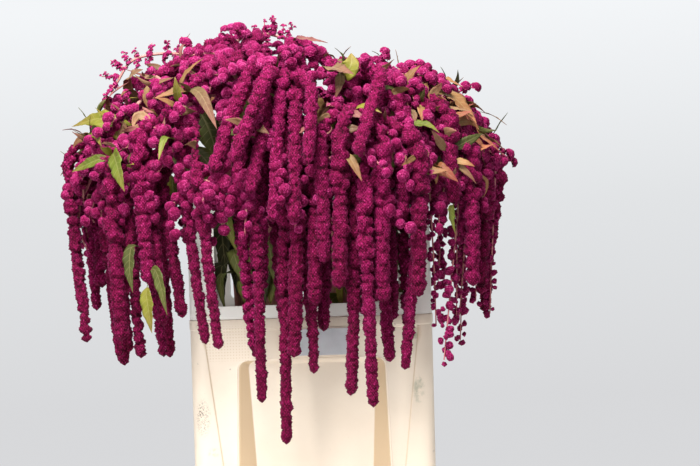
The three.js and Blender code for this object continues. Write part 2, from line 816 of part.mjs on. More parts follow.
function bucketBody() {
  const beadBottom = RIM.height - RIM.beadHeight;
  const outer = loft(
    [
      [FOOT.width, FOOT.depth, 0],
      [widthAt(beadBottom), depthAt(beadBottom), beadBottom],
      [RIM.width + 2 * RIM.bead, RIM.depth + 2 * RIM.bead, beadBottom + 1],
      [RIM.width + 2 * RIM.bead, RIM.depth + 2 * RIM.bead, RIM.height],
    ],
    RIM.corner,
  );
  const inner = loft(
    [
      [widthAt(FLOOR) - 2 * WALL, depthAt(FLOOR) - 2 * WALL, FLOOR],
      [RIM.width - 2 * WALL, RIM.depth - 2 * WALL, RIM.height + 1],
    ],
    RIM.corner - WALL,
  );
  let hollow = inner;
  let shell = outer;
  for (const side of [-1, 1]) {
    hollow = hollow.subtract(pressedPanel(RECESS, side, WALL));
    shell = shell.subtract(pressedPanel(GUSSET, side, 0)).subtract(pressedPanel(RECESS, side, 0));
  }
  const { x, width, bottom, height, thickness, proud } = CARD_PLATE;
  const middle = thickness / 2 - proud - RIM.depth / 2;
  const plate = box(width, thickness, height, x, middle, bottom + height / 2);
  return shell.subtract(hollow).add(plate);
}

function cardPocketBody() {
  const { x, width, bottom, height, proud } = CARD_PLATE;
  const { margin, thickness, gap } = CARD_POCKET;
  const y = -RIM.depth / 2 - proud - gap - thickness / 2;
  return box(width - 2 * margin, thickness, height - 2 * margin, x, y, bottom + height / 2);
}

function collarBody() {
  const { bottom, top, band, sill, post, lip } = COLLAR;
  const outer = loft(
    [
      [RIM.width, RIM.depth, bottom],
      [RIM.width, RIM.depth, top - band],
      [RIM.width + lip, RIM.depth + lip, top - band + 1],
      [RIM.width + lip, RIM.depth + lip, top],
    ],
    RIM.corner,
  );
  const inner = loft(
    [
      [RIM.width - 2 * WALL, RIM.depth - 2 * WALL, bottom - 1],
      [RIM.width - 2 * WALL, RIM.depth - 2 * WALL, top + 1],
    ],
    RIM.corner - WALL,
  );
  const tall = top - band - bottom - sill;
  const middle = bottom + sill + tall / 2;
  return outer
    .subtract(inner)
    .subtract(box(RIM.width - 2 * post, RIM.depth + 2 * CUTTER, tall, 0, 0, middle))
    .subtract(box(RIM.width + 2 * CUTTER, RIM.depth - 2 * post, tall, 0, 0, middle));
}

// Water in the bottom of the bucket, with a plain hole round each stem.
function waterBody(stalks) {
  const inset = 2 * (WALL + PLASTIC_GAP);
  let water = loft(
    [
      [widthAt(FLOOR) - inset, depthAt(FLOOR) - inset, FLOOR + PLASTIC_GAP],
      [widthAt(WATER_TOP) - inset, depthAt(WATER_TOP) - inset, WATER_TOP],
    ],
    RIM.corner - WALL,
  );
  for (const { points } of stalks) {
    const rise = minus(points[1], points[0]);
    const ends = [add(points[0], rise, WATER_HOLE.from), add(points[0], rise, WATER_HOLE.to)];
    const radii = ends.map(() => STEM.radius + WATER_GAP);
    const hole = { kind: 'stalk', points: ends, radii };
    water = water.subtract(solid(strandBody(hole, STEM.sides, 1, 0)));
  }
  return water;
}

const PINK_STEM = { color: 0xa8576a, roughness: 0.6, metalness: 0 };
const SEED_HEAD = { color: 0x8c1650, roughness: 0.85, metalness: 0 };
const CREAM = { color: 0xf3e4c8, roughness: 0.5, metalness: 0 };
const WHITE = { color: 0xe6e1d6, roughness: 0.5, metalness: 0 };
const WATER = { color: 0xb8c8c4, roughness: 0.1, metalness: 0, transparent: true, opacity: 0.4 };
const CLEAR = { color: 0xc3cbd6, roughness: 0.2, metalness: 0, transparent: true, opacity: 0.5 };

const bunch = new THREE.Group();

function addNode(name, body, finish) {
  const mesh = new THREE.Mesh(geometryOf(body), new THREE.MeshStandardMaterial(finish));
  mesh.name = name;
  bunch.add(mesh);
}

const strands = growStrands();
settle(strands, (strand) => strand.kind !== 'axis');
const leaves = [
  ...FRONT_LEAVES.map((row) => frontLeaf(strands, row)),
  ...Array.from({ length: BACK_LEAVES.count }, (_, i) => backLeaf(strands, i)),
];
strands.push(...leaves);
settle(strands, (strand) => strand.kind === 'leaf');
const stalks = stems.map(stalk);

function strandSolid(strand) {
  if (strand.kind === 'leaf') return solid(leafBody(strand));
  if (strand.kind === 'spike') return solid(strandBody(strand, STRAND_SIDES, 1, 0));
  if (strand.kind === 'axis') return solid(strandBody(strand, STRAND_SIDES, AXIS.stride, AXIS.relief));
  return solid(strandBody(strand, STRAND_SIDES, strand.stride, TASSEL.relief));
}

function stemSolids(stem, head) {
  const leafCount = head < RING_STEMS.length ? STEM_LEAVES.count : 1;
  const made = [solid(strandBody(stalks[head], STEM.sides, 1, 0))];
  for (let i = 0; i < leafCount; i++) made.push(solid(leafBody(stemLeaf(stem, head, i))));
  return made;
}

// The union of a node's strands, without any loose scrap that it leaves.
function joined(bodies) {
  const parts = wasm.Manifold.union(bodies).decompose();
  return parts.reduce((most, body) => (body.volume() > most.volume() ? body : most));
}

stems.forEach((stem, head) => {
  const number = String(head + 1).padStart(2, '0');
  const own = strands.filter((strand) => strand.head === head);
  addNode(`seed_head_${number}`, joined(own.map(strandSolid)), SEED_HEAD);
  addNode(`stem_${number}`, joined(stemSolids(stem, head)), PINK_STEM);
});
addNode('bucket', bucketBody(), CREAM);
addNode('collar', collarBody(), WHITE);
addNode('card_pocket', cardPocketBody(), CLEAR);
addNode('water', waterBody(stalks), WATER);

export default bunch;
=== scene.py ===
"""The looks of a bunch of amaranth seed heads in a flower bucket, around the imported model.

Lengths are millimetres until a mesh is made, and the frame is the model's: +Z up, the front faces -Y.
"""

import math

import bmesh
import bpy
import numpy as np
from mathutils import Matrix, Vector


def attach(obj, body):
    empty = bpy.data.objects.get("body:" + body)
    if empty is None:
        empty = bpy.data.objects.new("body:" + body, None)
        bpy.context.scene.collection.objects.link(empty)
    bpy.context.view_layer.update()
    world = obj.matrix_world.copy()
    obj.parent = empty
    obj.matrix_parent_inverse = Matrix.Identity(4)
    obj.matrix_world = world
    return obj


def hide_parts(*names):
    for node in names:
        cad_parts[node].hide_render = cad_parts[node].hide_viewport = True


MM = 0.001
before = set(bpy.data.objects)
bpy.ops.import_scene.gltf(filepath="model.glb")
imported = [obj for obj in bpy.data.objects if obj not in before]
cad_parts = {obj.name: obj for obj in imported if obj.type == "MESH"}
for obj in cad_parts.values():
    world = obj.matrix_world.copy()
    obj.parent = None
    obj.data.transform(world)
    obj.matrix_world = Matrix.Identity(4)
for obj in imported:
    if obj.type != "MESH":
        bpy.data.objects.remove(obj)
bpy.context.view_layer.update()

# The dome that the seed heads fill: it is widest at its level and rises above that.
DOME = {"x": -35, "half_width": 325, "half_depth": 262, "rise": 236, "level": 600}
# How far each layer of tassels lies inside the one before.
LAYER = 22
# The bucket's rim and foot, its wall and the top of its floor.
RIM = {"width": 350, "depth": 250, "height": 410, "corner": 22, "bead": 1, "bead_height": 14}
FOOT = {"width": 346, "depth": 246}
WALL = 3
FLOOR = 5
# Panels pressed into the bucket's front and back, as in the model.
GUSSET = {"bottom": 30, "top": 394, "face": (155, 112), "inset": (2, 4), "depth": (1.2, 1.6), "corner": 1}
RECESS = {"bottom": 84, "top": 350, "face": (105, 112), "inset": (14, 34), "depth": (9, 24), "corner": 12}
# A panel's slopes at its top and bottom, beside the one at its sides.
PANEL_SLOPE = 0.4
PLATE = {"x": 5, "width": 102, "bottom": 353, "height": 44, "thickness": 4, "proud": 1.5, "rounding": 1.4}
POCKET = {"margin": 3, "thickness": 1.2, "gap": 0.3, "rounding": 0.5}
COLLAR = {
    "bottom": 410.4,
    "top": 584,
    "band": 16,
    "sill": 19,
    "post": 40,
    "lip": 2,
    "fillet": 8,
    "rounding": 0.7,
}
# The stems: half the width and depth of the ring that they stand in, at their base and in the collar, their
# radii, the share of the arch that belongs to a stem, and the step along it.
STEM = {
    "base_x": 95,
    "base_y": 62,
    "collar_x": 122,
    "collar_y": 76,
    "collar_z": 600,
    "radii": (5.4, 4.8),
    "share": 0.3,
    "step": 18,
}
AXIS = {"clothed": 10.5, "tip": 8, "bare": 5.5, "riser": 135, "shoulder": 0.75, "stride": 3, "bare_steps": 3}

# Each ring stem: its azimuth in degrees (270 is the front), its share of the dome's reach, the height of its
# arch's end, and its lift.
RING_STEMS = [
    (187, 0.95, 590, 190),
    (214, 0.88, 620, 175),
    (241, 0.84, 640, 175),
    (268, 0.84, 650, 190),
    (295, 0.84, 645, 180),
    (322, 0.86, 640, 170),
    (349, 0.9, 600, 175),
    (16, 0.9, 610, 175),
    (44, 0.87, 635, 175),
    (74, 0.85, 645, 180),
    (106, 0.85, 645, 180),
    (134, 0.87, 640, 175),
    (161, 0.91, 610, 180),
]
# Each crown stem: place in the collar, then the arch's end and its lift.
CROWN_STEMS = [
    (-72, -18, -150, -112, 762, 95),
    (52, -26, 116, -92, 735, 60),
    (58, 22, 150, 78, 728, 70),
    (-58, 26, -165, 92, 750, 95),
    (-6, 2, -72, -12, 788, 42),
]
# The step along a strand, and how many steps back along its axis a tassel springs.
STEP = 16
ROOT_BACK = 4
# A tassel's neck and tip beside its radius, how much wider each step is, and how its arch leaves its axis.
TASSEL = {"neck": 0.55, "wider": 0.15, "tip": 0.8, "outward": 0.55, "bend": 0.4}

# Tassels that hang in front: top x and z, tip x and z, radius, layers below the dome, and how they look.
FRONT_TASSELS = [
    (-350, 585, -320, 385, 7.9, 0, "beaded"),
    (-315, 605, -290, 355, 7.9, 3, "stacked"),
    (-270, 615, -260, 390, 11.4, 0, "stacked"),
    (-250, 565, -235, 365, 7.9, 1, "beaded"),
    (-230, 550, -205, 365, 6.4, 2, "beaded"),
    (-225, 660, -215, 470, 11.4, 0, "stacked"),
    (-215, 600, -200, 410, 8.6, 1, "stacked"),
    (-200, 600, -175, 420, 9.3, 2, "stacked"),
    (-165, 595, -140, 385, 7.9, 1, "stacked"),
    (-140, 580, -120, 380, 7.9, 0, "stacked"),
    (-65, 750, -110, 610, 11.4, 0, "even"),
    (-50, 715, -90, 625, 10.7, -1, "even"),
    (-35, 740, -70, 585, 10.0, 0, "even"),
    (-85, 655, -95, 565, 12.0, 1, "even"),
    (-25, 730, -40, 545, 9.3, 0, "even"),
    (-10, 710, -15, 545, 10.0, 0, "even"),
    (10, 705, 5, 620, 9.3, -1, "even"),
    (30, 650, 30, 490, 10.0, 0, "even"),
    (15, 650, 10, 435, 10.7, 1, "stacked"),
    (50, 660, 40, 455, 11.4, 0, "stacked"),
    (25, 550, 20, 395, 9.3, 3, "stacked"),
    (5, 520, 5, 340, 7.9, 2, "stacked"),
    (-10, 560, -20, 365, 10.7, 1, "stacked"),
    (-65, 555, -65, 305, 7.9, 1, "stacked"),
    (-90, 575, -75, 365, 8.6, 2, "beaded"),
    (-30, 540, -35, 245, 8.6, 2, "stacked"),
    (115, 560, 115, 405, 11.4, 3, "stacked"),
    (70, 535, 55, 310, 9.3, 1, "stacked"),
    (80, 520, 85, 295, 9.3, 0, "stacked"),
    (100, 505, 110, 350, 9.3, 2, "stacked"),
    (150, 500, 130, 340, 8.6, 1, "stacked"),
    (105, 635, 100, 435, 11.4, 0, "stacked"),
    (155, 615, 150, 440, 11.4, 0, "stacked"),
    (105, 740, 70, 635, 10.0, -1, "even"),
    (230, 630, 230, 450, 12.0, 0, "stacked"),
    (260, 625, 245, 435, 10.0, 1, "beaded"),
    (210, 535, 185, 345, 10.0, 1, "sparse"),
    (215, 530, 210, 395, 7.1, 2, "sparse"),
    (280, 640, 265, 400, 7.9, 2, "sparse"),
    (180, 570, 180, 395, 8.6, 2, "sparse"),
    (240, 570, 220, 395, 7.1, 3, "sparse"),
    (140, 685, 135, 550, 11.4, 0, "stacked"),
    (200, 685, 205, 565, 11.4, 0, "stacked"),
]
BACK_TASSELS = {
    "count": 34,
    "from": -8,
    "to": 188,
    "layers": 3,
    "top": 600,
    "top_spread": 60,
    "shortest": 130,
    "longest": 285,
    "radius": (8.5, 12),
    "inward": 0.02,
    "more_inward": 0.06,
}
CROWN_TASSELS = {
    "count": 20,
    "top": 0.32,
    "lower_top": 0.52,
    "tip": 0.74,
    "lower_tip": 0.92,
    "sink": (42, 10),
    "lower_sink": (45, 40),
    "tip_sink": 0.25,
    "radius": (9, 11.5),
    "uneven": 0.6,
}
# The tassels past this x end by this height, a little above their solids' tips.
SHORT_SIDE = {"x": 236, "z": 398}
# Behind the gap at the right, from this x to this x, the back tassels are sparse too.
SPARSE_BACK = (172, 262)
SPIKES_PER_STEM = 2
SPIKE = {
    "shortest": 40,
    "longest": 58,
    "bead": 9.5,
    "neck": 5,
    "first": 0.25,
    "turn": (0.3, 0.9),
    "lean": 0.3,
}

# Leaves among the front tassels: base x and z, tip x and z, half width, and the name of a leaf colour.
FRONT_LEAVES = [
    (-270, 700, -334, 690, 12, "lime"),
    (-278, 642, -324, 626, 7, "green"),
    (-304, 682, -284, 648, 8, "lime"),
    (-258, 652, -234, 592, 11, "green"),
    (-154, 730, -200, 716, 6, "rust"),
    (-164, 738, -128, 762, 5, "rust"),
    (-136, 736, -108, 672, 7, "veined"),
    (-182, 670, -190, 632, 5, "green"),
    (-174, 790, -162, 820, 3, "pink"),
    (-258, 758, -220, 762, 9, "tan"),
    (-288, 728, -240, 746, 5, "pink"),
    (-16, 804, 36, 788, 5, "pink"),
    (32, 754, 70, 740, 12, "veined"),
    (70, 740, 76, 770, 12, "lime"),
    (186, 744, 222, 728, 9, "rust"),
    (202, 724, 238, 676, 12, "rust"),
    (230, 708, 256, 692, 8, "rust"),
    (180, 614, 206, 594, 9, "orange"),
    (162, 674, 182, 660, 6, "green"),
    (60, 632, 76, 596, 5, "rust"),
    (156, 634, 128, 616, 3, "rust"),
    (80, 698, 98, 686, 4, "lime"),
    (-236, 524, -226, 456, 9, "olive"),
    (-216, 464, -206, 402, 9, "lime"),
    (-198, 492, -184, 426, 7, "olive"),
    (190, 550, 200, 522, 6, "green"),
]
BACK_LEAVES = {
    "count": 10,
    "from": 2,
    "to": 178,
    "low": 590,
    "high": 745,
    "shortest": 40,
    "longest": 62,
    "turn": 9,
    "half_width": (6, 11),
    "colours": ("green", "rust", "lime", "veined"),
}
STEM_LEAVES = {
    "count": 2,
    "low": 470,
    "high": 565,
    "fall": 44,
    "out": 22,
    "half_width": 11,
    "colours": ("olive", "green", "olive", "lime"),
}
# How neighbouring strands are pushed apart, round by round, and how far they keep from the collar.
RELAX = {
    "rounds": 160,
    "refresh": 8,
    "reach": 16,
    "apart": 3,
    "same": 1,
    "push": 0.35,
    "collar_gap": 14,
    "calm": 40,
    "calm_share": 0.3,
    "rooted": 3,
}
# A direction that no path starts along.
SIDE_HINT = np.array([0.31, 0.95, 0.05])
# The share of half a turn between neighbours when points are spread evenly round a ball or a dome.
GOLDEN = 3 - math.sqrt(5)
# Side branches all over the dome, between these shares of its rise.
BRANCHES = {
    "count": 154,
    "lowest": -0.12,
    "highest": 0.95,
    "span": (38, 78),
    "pitch": (11, 14.5),
    "ball": (6.6, 10.2),
    "share": 0.97,
    "sunk": (2, 16),
    "stray": 0.28,
    "droop": 0.0009,
    "bend": (4, 12),
    "stalk": (2.2, 1.2),
    "tint": (-0.1, 0.6),
}
# More of them where the bunch is dense: their number, and ranges of rise and azimuth.
MORE_BRANCHES = [
    (16, (0.7, 0.88), (215, 320)),
    (14, (0.05, 0.5), (204, 236)),
    (12, (0.2, 0.7), (300, 340)),
    (12, (0.32, 0.7), (330, 385)),
    (12, (0.8, 0.95), (10, 170)),
    (11, (-0.1, 0.15), (238, 262)),
    (5, (0.62, 0.82), (325, 345)),
    (7, (0.25, 0.5), (345, 375)),
]
# The bunch's upper outline, as x and z: no side branch starts above it.
SKYLINE = [
    (-355, 600),
    (-320, 670),
    (-286, 730),
    (-230, 755),
    (-190, 765),
    (-150, 800),
    (-97, 818),
    (-11, 808),
    (23, 796),
    (57, 768),
    (91, 760),
    (126, 774),
    (165, 776),
    (194, 756),
    (229, 728),
    (263, 712),
    (300, 690),
]
# Leaves inside the dome, which are seen between the clusters.
INNER_LEAVES = {
    "count": 70,
    "share": (0.3, 0.8),
    "lowest": -60,
    "length": (60, 105),
    "half_width": (12, 20),
    "colours": ("olive", "green", "olive", "veined", "lime", "rust"),
}
# Tassels that hang between the front ones and the collar, where the bunch is dense.
FILLERS = {
    "count": 15,
    "from": -82,
    "to": 142,
    "top": (590, 650),
    "tip": (392, 500),
    "radius": (8, 10.5),
    "layer": (2.6, 4.2),
    "lean": 10,
}
# Small leaves among the clusters: x from and to, z from and to, their number and colours.
LEAF_ZONES = [
    ((-320, -140), (630, 775), 48, ("tan", "rust", "veined", "pink", "lime", "tan")),
    ((125, 265), (600, 748), 40, ("rust", "orange", "veined", "olive", "rust", "veined")),
    ((-140, 125), (620, 785), 24, ("tan", "olive", "veined", "pink")),
    ((185, 245), (690, 742), 14, ("orange", "rust", "orange", "tan")),
]
BACK_ZONE = {"count": 44, "low": 560, "high": 790, "colours": ("olive", "rust", "green", "tan")}
SMALL_LEAF = {"length": (20, 44), "half_width": (2.8, 7.2), "curl": 1.9}
# Bare stalks that arch over the top, as points, and the beaded spikes on them: foot, length and lean.
ARCHES = [
    [
        *((-118, -45, 762), (-137, -45, 787), (-171, -45, 801)),
        *((-220, -45, 804), (-258, -45, 794), (-280, -48, 762)),
    ],
    [
        *((-118, -40, 806), (-88, -40, 828), (-71, -40, 830)),
        *((-50, -40, 829), (-14, -40, 815), (10, -44, 790)),
    ],
]
SPIKES = [
    (0, (-250, -45, 798), 12, (-0.2, 1)),
    (0, (-229, -45, 803), 18, (0.15, 1)),
    (0, (-202, -45, 804), 20, (-0.1, 1)),
    (0, (-188, -45, 803), 13, (0.2, 1)),
    (0, (-171, -45, 801), 16, (0.05, 1)),
    (0, (-249, -45, 797), 18, (-0.1, -1)),
    (0, (-231, -45, 803), 25, (0.05, -1)),
    (0, (-206, -45, 804), 19, (-0.1, -1)),
    (0, (-190, -45, 803), 16, (0.2, -1)),
    (0, (-268, -46, 783), 24, (-0.9, 0.6)),
    (0, (-262, -46, 790), 18, (-0.35, 1)),
    (0, (-276, -47, 770), 26, (-1, 0.1)),
    (0, (-279, -48, 764), 30, (-0.6, -0.8)),
    (1, (-73, -40, 830), 13, (0.02, 1)),
    (1, (-58, -40, 829), 20, (0.0, 1)),
    (1, (-47, -40, 828), 25, (0.1, 1)),
    (1, (-34, -40, 824), 19, (0.25, 1)),
    (1, (-28, -40, 821), 25, (0.55, 1)),
    (1, (-98, -40, 820), 22, (-0.1, 1)),
    (1, (-73, -40, 829), 20, (-0.1, -1)),
    (1, (-56, -40, 829), 22, (0.1, -1)),
    (1, (-44, -40, 827), 30, (-0.05, 1)),
]
# Thin leaf tips that stand out of the outline: foot, tip and colour.
SPINES = [
    ((214, -20, 748), (204, -24, 775), "olive"),
    ((120, -20, 784), (101, -24, 802), "olive"),
    ((141, -20, 776), (137, -24, 803), "tan"),
    ((51, -20, 784), (70, -24, 810), "tan"),
    ((276, -20, 664), (303, -24, 703), "olive"),
    ((262, -20, 706), (300, -30, 684), "tan"),
    ((-325, -20, 700), (-343, -24, 730), "olive"),
    ((-350, -20, 640), (-372, -24, 665), "olive"),
    ((-336, -20, 690), (-368, -24, 697), "pink"),
]
# The radii of these stalks, the beads on the spikes, and the leaf tips' half width.
SPRIG = {
    "arch": (2.6, 1.7),
    "stalk": (1.1, 0.6),
    "pitch": 4.2,
    "size": (2.8, 4.8),
    "stray": 2.2,
    "tint": (0.3, 0.9),
    "spine": 2.8,
}
# How far the large leaves' tips lie above their solids, and their width beside them.
LEAF_LIFT = 8
LEAF_WIDTH = 1.1
# The lip round the bucket's recess, the steps round its corners and along its sides, and its wall's levels.
LIP = {"height": 1.1, "place": 1.7, "width": 0.9}
CORNER_STEPS = 6
SIDE_STEPS = 6
BUCKET_LEVELS = [
    *(2, 8, 20, 29, 30, 30.8, 32, 45, 65, 80, 83, 84, 85, 86.5, 88.5, 90, 92, 100, 120, 145, 170, 195),
    *(220, 245, 270, 290, 310, 325, 334, 338, 341, 343.4, 344.6, 346, 347.4, 348.6, 349.4, 350),
    *(350.8, 351.8, 353, 355, 365, 380, 390, 392.8, 393.4, 394, 394.6),
]
# Leaves behind the front window: base x and z, tip x and z, their depth, half width and colour.
WINDOW_LEAVES = [
    (-124, 562, -104, 506, -108, 11, "green"),
    (-114, 505, -92, 454, -104, 12, "olive"),
    (-134, 470, -122, 420, -108, 8, "olive"),
    (-107, 458, -90, 424, -110, 7, "green"),
    (-96, 540, -84, 470, -92, 9, "olive"),
    (38, 470, 46, 408, -112, 7, "lime"),
    (44, 474, 66, 410, -112, 8, "olive"),
    (118, 540, 132, 470, -104, 11, "olive"),
    (-60, 520, -48, 452, -100, 10, "olive"),
    (96, 520, 84, 448, -104, 9, "green"),
    # Near-black leaves, which stand in for the shade behind the window:
    (-130, 562, -122, 474, -84, 17, "dark"),
    (-104, 552, -108, 444, -74, 19, "dark"),
    (-86, 540, -92, 436, -80, 18, "dark"),
    (-132, 486, -126, 424, -90, 15, "dark"),
    (-70, 520, -66, 430, -84, 16, "dark"),
]
# Leaves inside the collar, which keep clear of its wall; half are near black, a painted shade inside the
# collar.
COLLAR_LEAVES = {
    "count": 54,
    "low": 440,
    "high": 590,
    "length": (30, 55),
    "half_width": (10, 16),
    "clear": 14,
    "colours": ("olive", "dark", "green", "dark"),
}
# The plastics: their light and dark tones, and their roughness.
PLASTICS = {
    "cream": ((0.83, 0.715, 0.585), (0.77, 0.65, 0.52), 0.42),
    "white": ((0.90, 0.87, 0.81), (0.84, 0.81, 0.75), 0.45),
}
# Dirt on the plastic, and a painted shade: their colours, then the place, half sizes, kind and strength of
# each mark on the bucket.
SOIL_AND_SHADE = {
    "speck": (0.42, 0.33, 0.22, 1),
    "scuff": (0.16, 0.13, 0.10, 1),
    "moss": (0.30, 0.31, 0.20, 1),
    "tan": (0.62, 0.47, 0.30, 1),
    # Painted shade for the recess walls and the gusset lines.
    "wall": (0.53, 0.36, 0.19, 1),
}
DOTS = {"centre": (-120, 376), "half": (32, 25), "pitch": 4.2, "size": 0.24}
DOT_STRENGTH = 0.75
STAINS = [
    ((-164, -122, 390), (7, 20, 18), "moss", 0.75),
    ((-158, -122, 270), (14, 20, 34), "scuff", 0.7),
    ((-160, -122, 276), (5, 20, 22), "scuff", 0.9),
    ((-144, -122, 221), (13, 20, 8), "moss", 0.8),
    ((-163, -122, 349), (2.2, 20, 2.2), "scuff", 1.0),
    ((-117, -122, 339), (1.8, 20, 1.8), "scuff", 1.0),
    ((148, -122, 382), (6, 20, 17), "moss", 0.7),
    ((152, -122, 304), (11, 20, 30), "moss", 0.6),
    ((120, -122, 397), (3, 20, 2), "scuff", 0.9),
    ((172, -122, 212), (4, 20, 3), "scuff", 0.9),
    ((0, -122, 408), (190, 20, 8), "tan", 0.25),
    ((-172, 0, 330), (20, 90, 60), "scuff", 0.35),
    ((172, 30, 250), (20, 60, 80), "scuff", 0.35),
    ((40, 122, 330), (60, 20, 40), "scuff", 0.3),
]
COLLAR_STAINS = [
    ((-150, -122, 420), (22, 20, 10), "tan", 0.5),
    ((120, -122, 418), (40, 20, 7), "tan", 0.4),
    ((-155, -122, 500), (12, 20, 40), "scuff", 0.25),
]
# A tassel's clusters beside its solid's radius, how far a floret stands out of its cluster, and its area.
TASSEL_WIDTH = 0.93
FLORET = 1.25
FLORET_AREA = 12
PATH_STEP = 3
# A tassel whose middle lies before this y hangs in front, where its florets are seen best.
FRONT_Y = -40
# The size of the florets on a tassel, by where it hangs.
GRAIN = {"front": 2.35, "inner": 2.6, "back": 3.5, "filler": 3.3}
# A tassel's root: its share of the length, the size of its florets, and its paleness beside the rest.
ROOT = {"share": 0.28, "grain": 4.2, "tint": 0.6}
# The loose knots below it: their share of what is left, and their width beside the tassel's.
KNOTS = {"even": 0.1, "other": 0.42, "width": 1.15}
# How the clusters of a tassel lie, as shares of its radius: their pitch along it, how far they stray from
# it, their size, how far they stand from its middle, their number round it, and the core between them.
TASSEL_LOOKS = {
    "stacked": dict(pitch=0.8, stray=0.25, size=(0.48, 0.68), offset=0.44, around=5, core=0.55),
    "even": dict(pitch=0.7, stray=0.3, size=(0.42, 0.58), offset=0.52, around=6, core=0.66),
    "beaded": dict(pitch=1.1, stray=0.5, size=(0.55, 0.85), offset=0.52, around=3, core=0.25),
}
# A sparse tassel's clusters, as shares of its radius, and the radii of its stalk.
SPARSE = {"pitch": 0.62, "offset": (0.3, 1.0), "size": (0.34, 0.62), "stalk": (1.7, 0.9)}
# A tassel's florets: how far they stray, the rounding at its root and at its ends, the most that it may
# reach beside its radius, the height and painted shade of its peaks and valleys, how low its peaks get at
# its ends, how much painted shade darkens it between clusters, and the shade of its two ends.
SKIN = {
    "stray": 0.42,
    "root": 0.15,
    "least": 0.12,
    "most": 1.25,
    "peak": (0.1, 1.3),
    "valley": (-1.0, -0.3),
    "light": (0.45, 1),
    "dark": (0, 0.35),
    "lowest": 0.4,
    "crease_shade": 0.15,
    "ends": (0.5, 0.7),
}
# A ball's florets: the numbers to choose from, how far they stray, and the height and painted shade of peaks
# and valleys. The share of its full number before and behind, how far round it is kept, and its squash.
BALL = {
    "counts": (12, 18, 28, 40, 56, 72, 92),
    "stray": 0.35,
    "peak": (0.1, 1.15),
    "valley": (0.6, 1.1),
    "light": (0.55, 1),
    "dark": (0, 0.2),
    "before": 0.88,
    "behind": 0.45,
    "behind_y": 50,
    "buried": -0.15,
    "squash": (0.85, 1.15),
}
# The stalks of axes and spikes, and the clusters on them.
AXIS_BEADS = {
    "stalk": (4.2, 2.2),
    "bare": 14,
    "pitch": 13,
    "offset": 8,
    "size": (7.0, 10.2),
    "tint": (0.15, 0.75),
}
SPIKE_BEADS = {"stalk": (1.6, 1.0), "pitch": 8, "stray": 3.2, "size": (4.2, 7.5), "tint": (0.2, 0.8)}
# How pale the clusters of each kind of tassel are, and how much paler with each millimetre of height.
TINTS = {"even": (0.25, 0.7), "stacked": (0.1, 0.75), "beaded": (0.1, 0.9), "sparse": (0.1, 0.6)}
TINT_RISE = 0.0018
# The colours of florets from the painted shade of their valleys to their light peaks, deep and pale.
FLORET_COLOURS = {
    "deep": [
        (0.0, (0.02, 0.0002, 0.004)),
        (0.3, (0.11, 0.0008, 0.024)),
        (0.7, (0.24, 0.005, 0.068)),
        (1.0, (0.42, 0.035, 0.16)),
    ],
    "pale": [
        (0.0, (0.04, 0.0003, 0.009)),
        (0.3, (0.2, 0.002, 0.052)),
        (0.7, (0.40, 0.018, 0.14)),
        (1.0, (0.66, 0.11, 0.32)),
    ],
}
# A leaf blade: its stalk's share, two powers that shape its outline, its width at the root, its fold, the
# height of its ribs, the height, turns and power of its waves, its thickness, and its shades.
BLADE = {
    "stalk": 0.1,
    "fullest": 0.72,
    "full": 0.9,
    "root": 0.7,
    "fold": (0.3, 0.1),
    "rib": 0.05,
    "waves": ((0.1, 19, 2), (0.07, 31, 4)),
    "thickness": 0.5,
    "shade": (0.42, 0.8),
    "under": 0.85,
}
# The veins of a blade: their number, slant and width, the midrib's width, and how strongly they show.
VEINS = {
    "count": 9.0,
    "slant": 0.9,
    "vein": 0.07,
    "midrib": (0.1, 0.02),
    "strength": 0.25,
    "colour": (0.45, 0.38, 0.18, 1),
}
# The dark and light spots on leaves and stalks.
MOTTLING = [(0.3, (0.62, 0.55, 0.45)), (0.7, (1.15, 1.1, 1.05))]
# The colours of leaves: at the base, in the middle and at the tip.
LEAF_COLOURS = {
    "green": ((0.18, 0.20, 0.025), (0.16, 0.21, 0.025), (0.27, 0.25, 0.04)),
    "lime": ((0.37, 0.35, 0.045), (0.35, 0.36, 0.04), (0.40, 0.28, 0.06)),
    "olive": ((0.10, 0.11, 0.02), (0.12, 0.14, 0.03), (0.16, 0.17, 0.04)),
    # Near black: a painted shade for the leaves that fill the collar's dark inside.
    "dark": ((0.035, 0.04, 0.012), (0.045, 0.05, 0.012), (0.06, 0.06, 0.02)),
    "veined": ((0.30, 0.26, 0.10), (0.36, 0.20, 0.11), (0.40, 0.14, 0.11)),
    "rust": ((0.34, 0.24, 0.08), (0.42, 0.22, 0.09), (0.45, 0.17, 0.08)),
    "orange": ((0.38, 0.22, 0.06), (0.46, 0.16, 0.07), (0.44, 0.09, 0.08)),
    "tan": ((0.42, 0.28, 0.14), (0.42, 0.25, 0.13), (0.38, 0.17, 0.10)),
    "pink": ((0.42, 0.16, 0.14), (0.48, 0.17, 0.16), (0.40, 0.12, 0.12)),
}
PINK_STALK = (0.46, 0.14, 0.17)
PALE_STALK = (0.56, 0.27, 0.25)
GREEN_STALK = (0.30, 0.24, 0.12)
# The photograph's view: level, a little rolled, with its middle at a real place on the bucket's front plane.
PHOTO = {"width": 700, "middle_x": 350, "middle_y": 233, "millimetres": 1.43, "zero_x": 308, "zero_y": 603}
ROLL = 0.03
LENS = 70
SENSOR = 36
FLOOR_RADIUS = 0.85
# The pale wall behind, from low to high, and the lamps: name, place, target, size and watts.
WALL_SHADES = [(0.0, (0.685, 0.69, 0.705)), (0.5, (0.76, 0.775, 0.79)), (1.0, (0.90, 0.92, 0.94))]
LIGHTS = [
    ("key", (-0.35, -1.5, 2.6), (0, 0, 0.6), 1.0, 138),
    ("front", (-1.5, -2.7, 0.8), (0, 0, 0.3), 1.4, 37),
    ("fill", (1.8, -1.8, 1.0), (0, 0, 0.45), 1.8, 7),
    ("back", (0.4, 1.8, 1.8), (0, 0, 0.6), 1.6, 14),
]


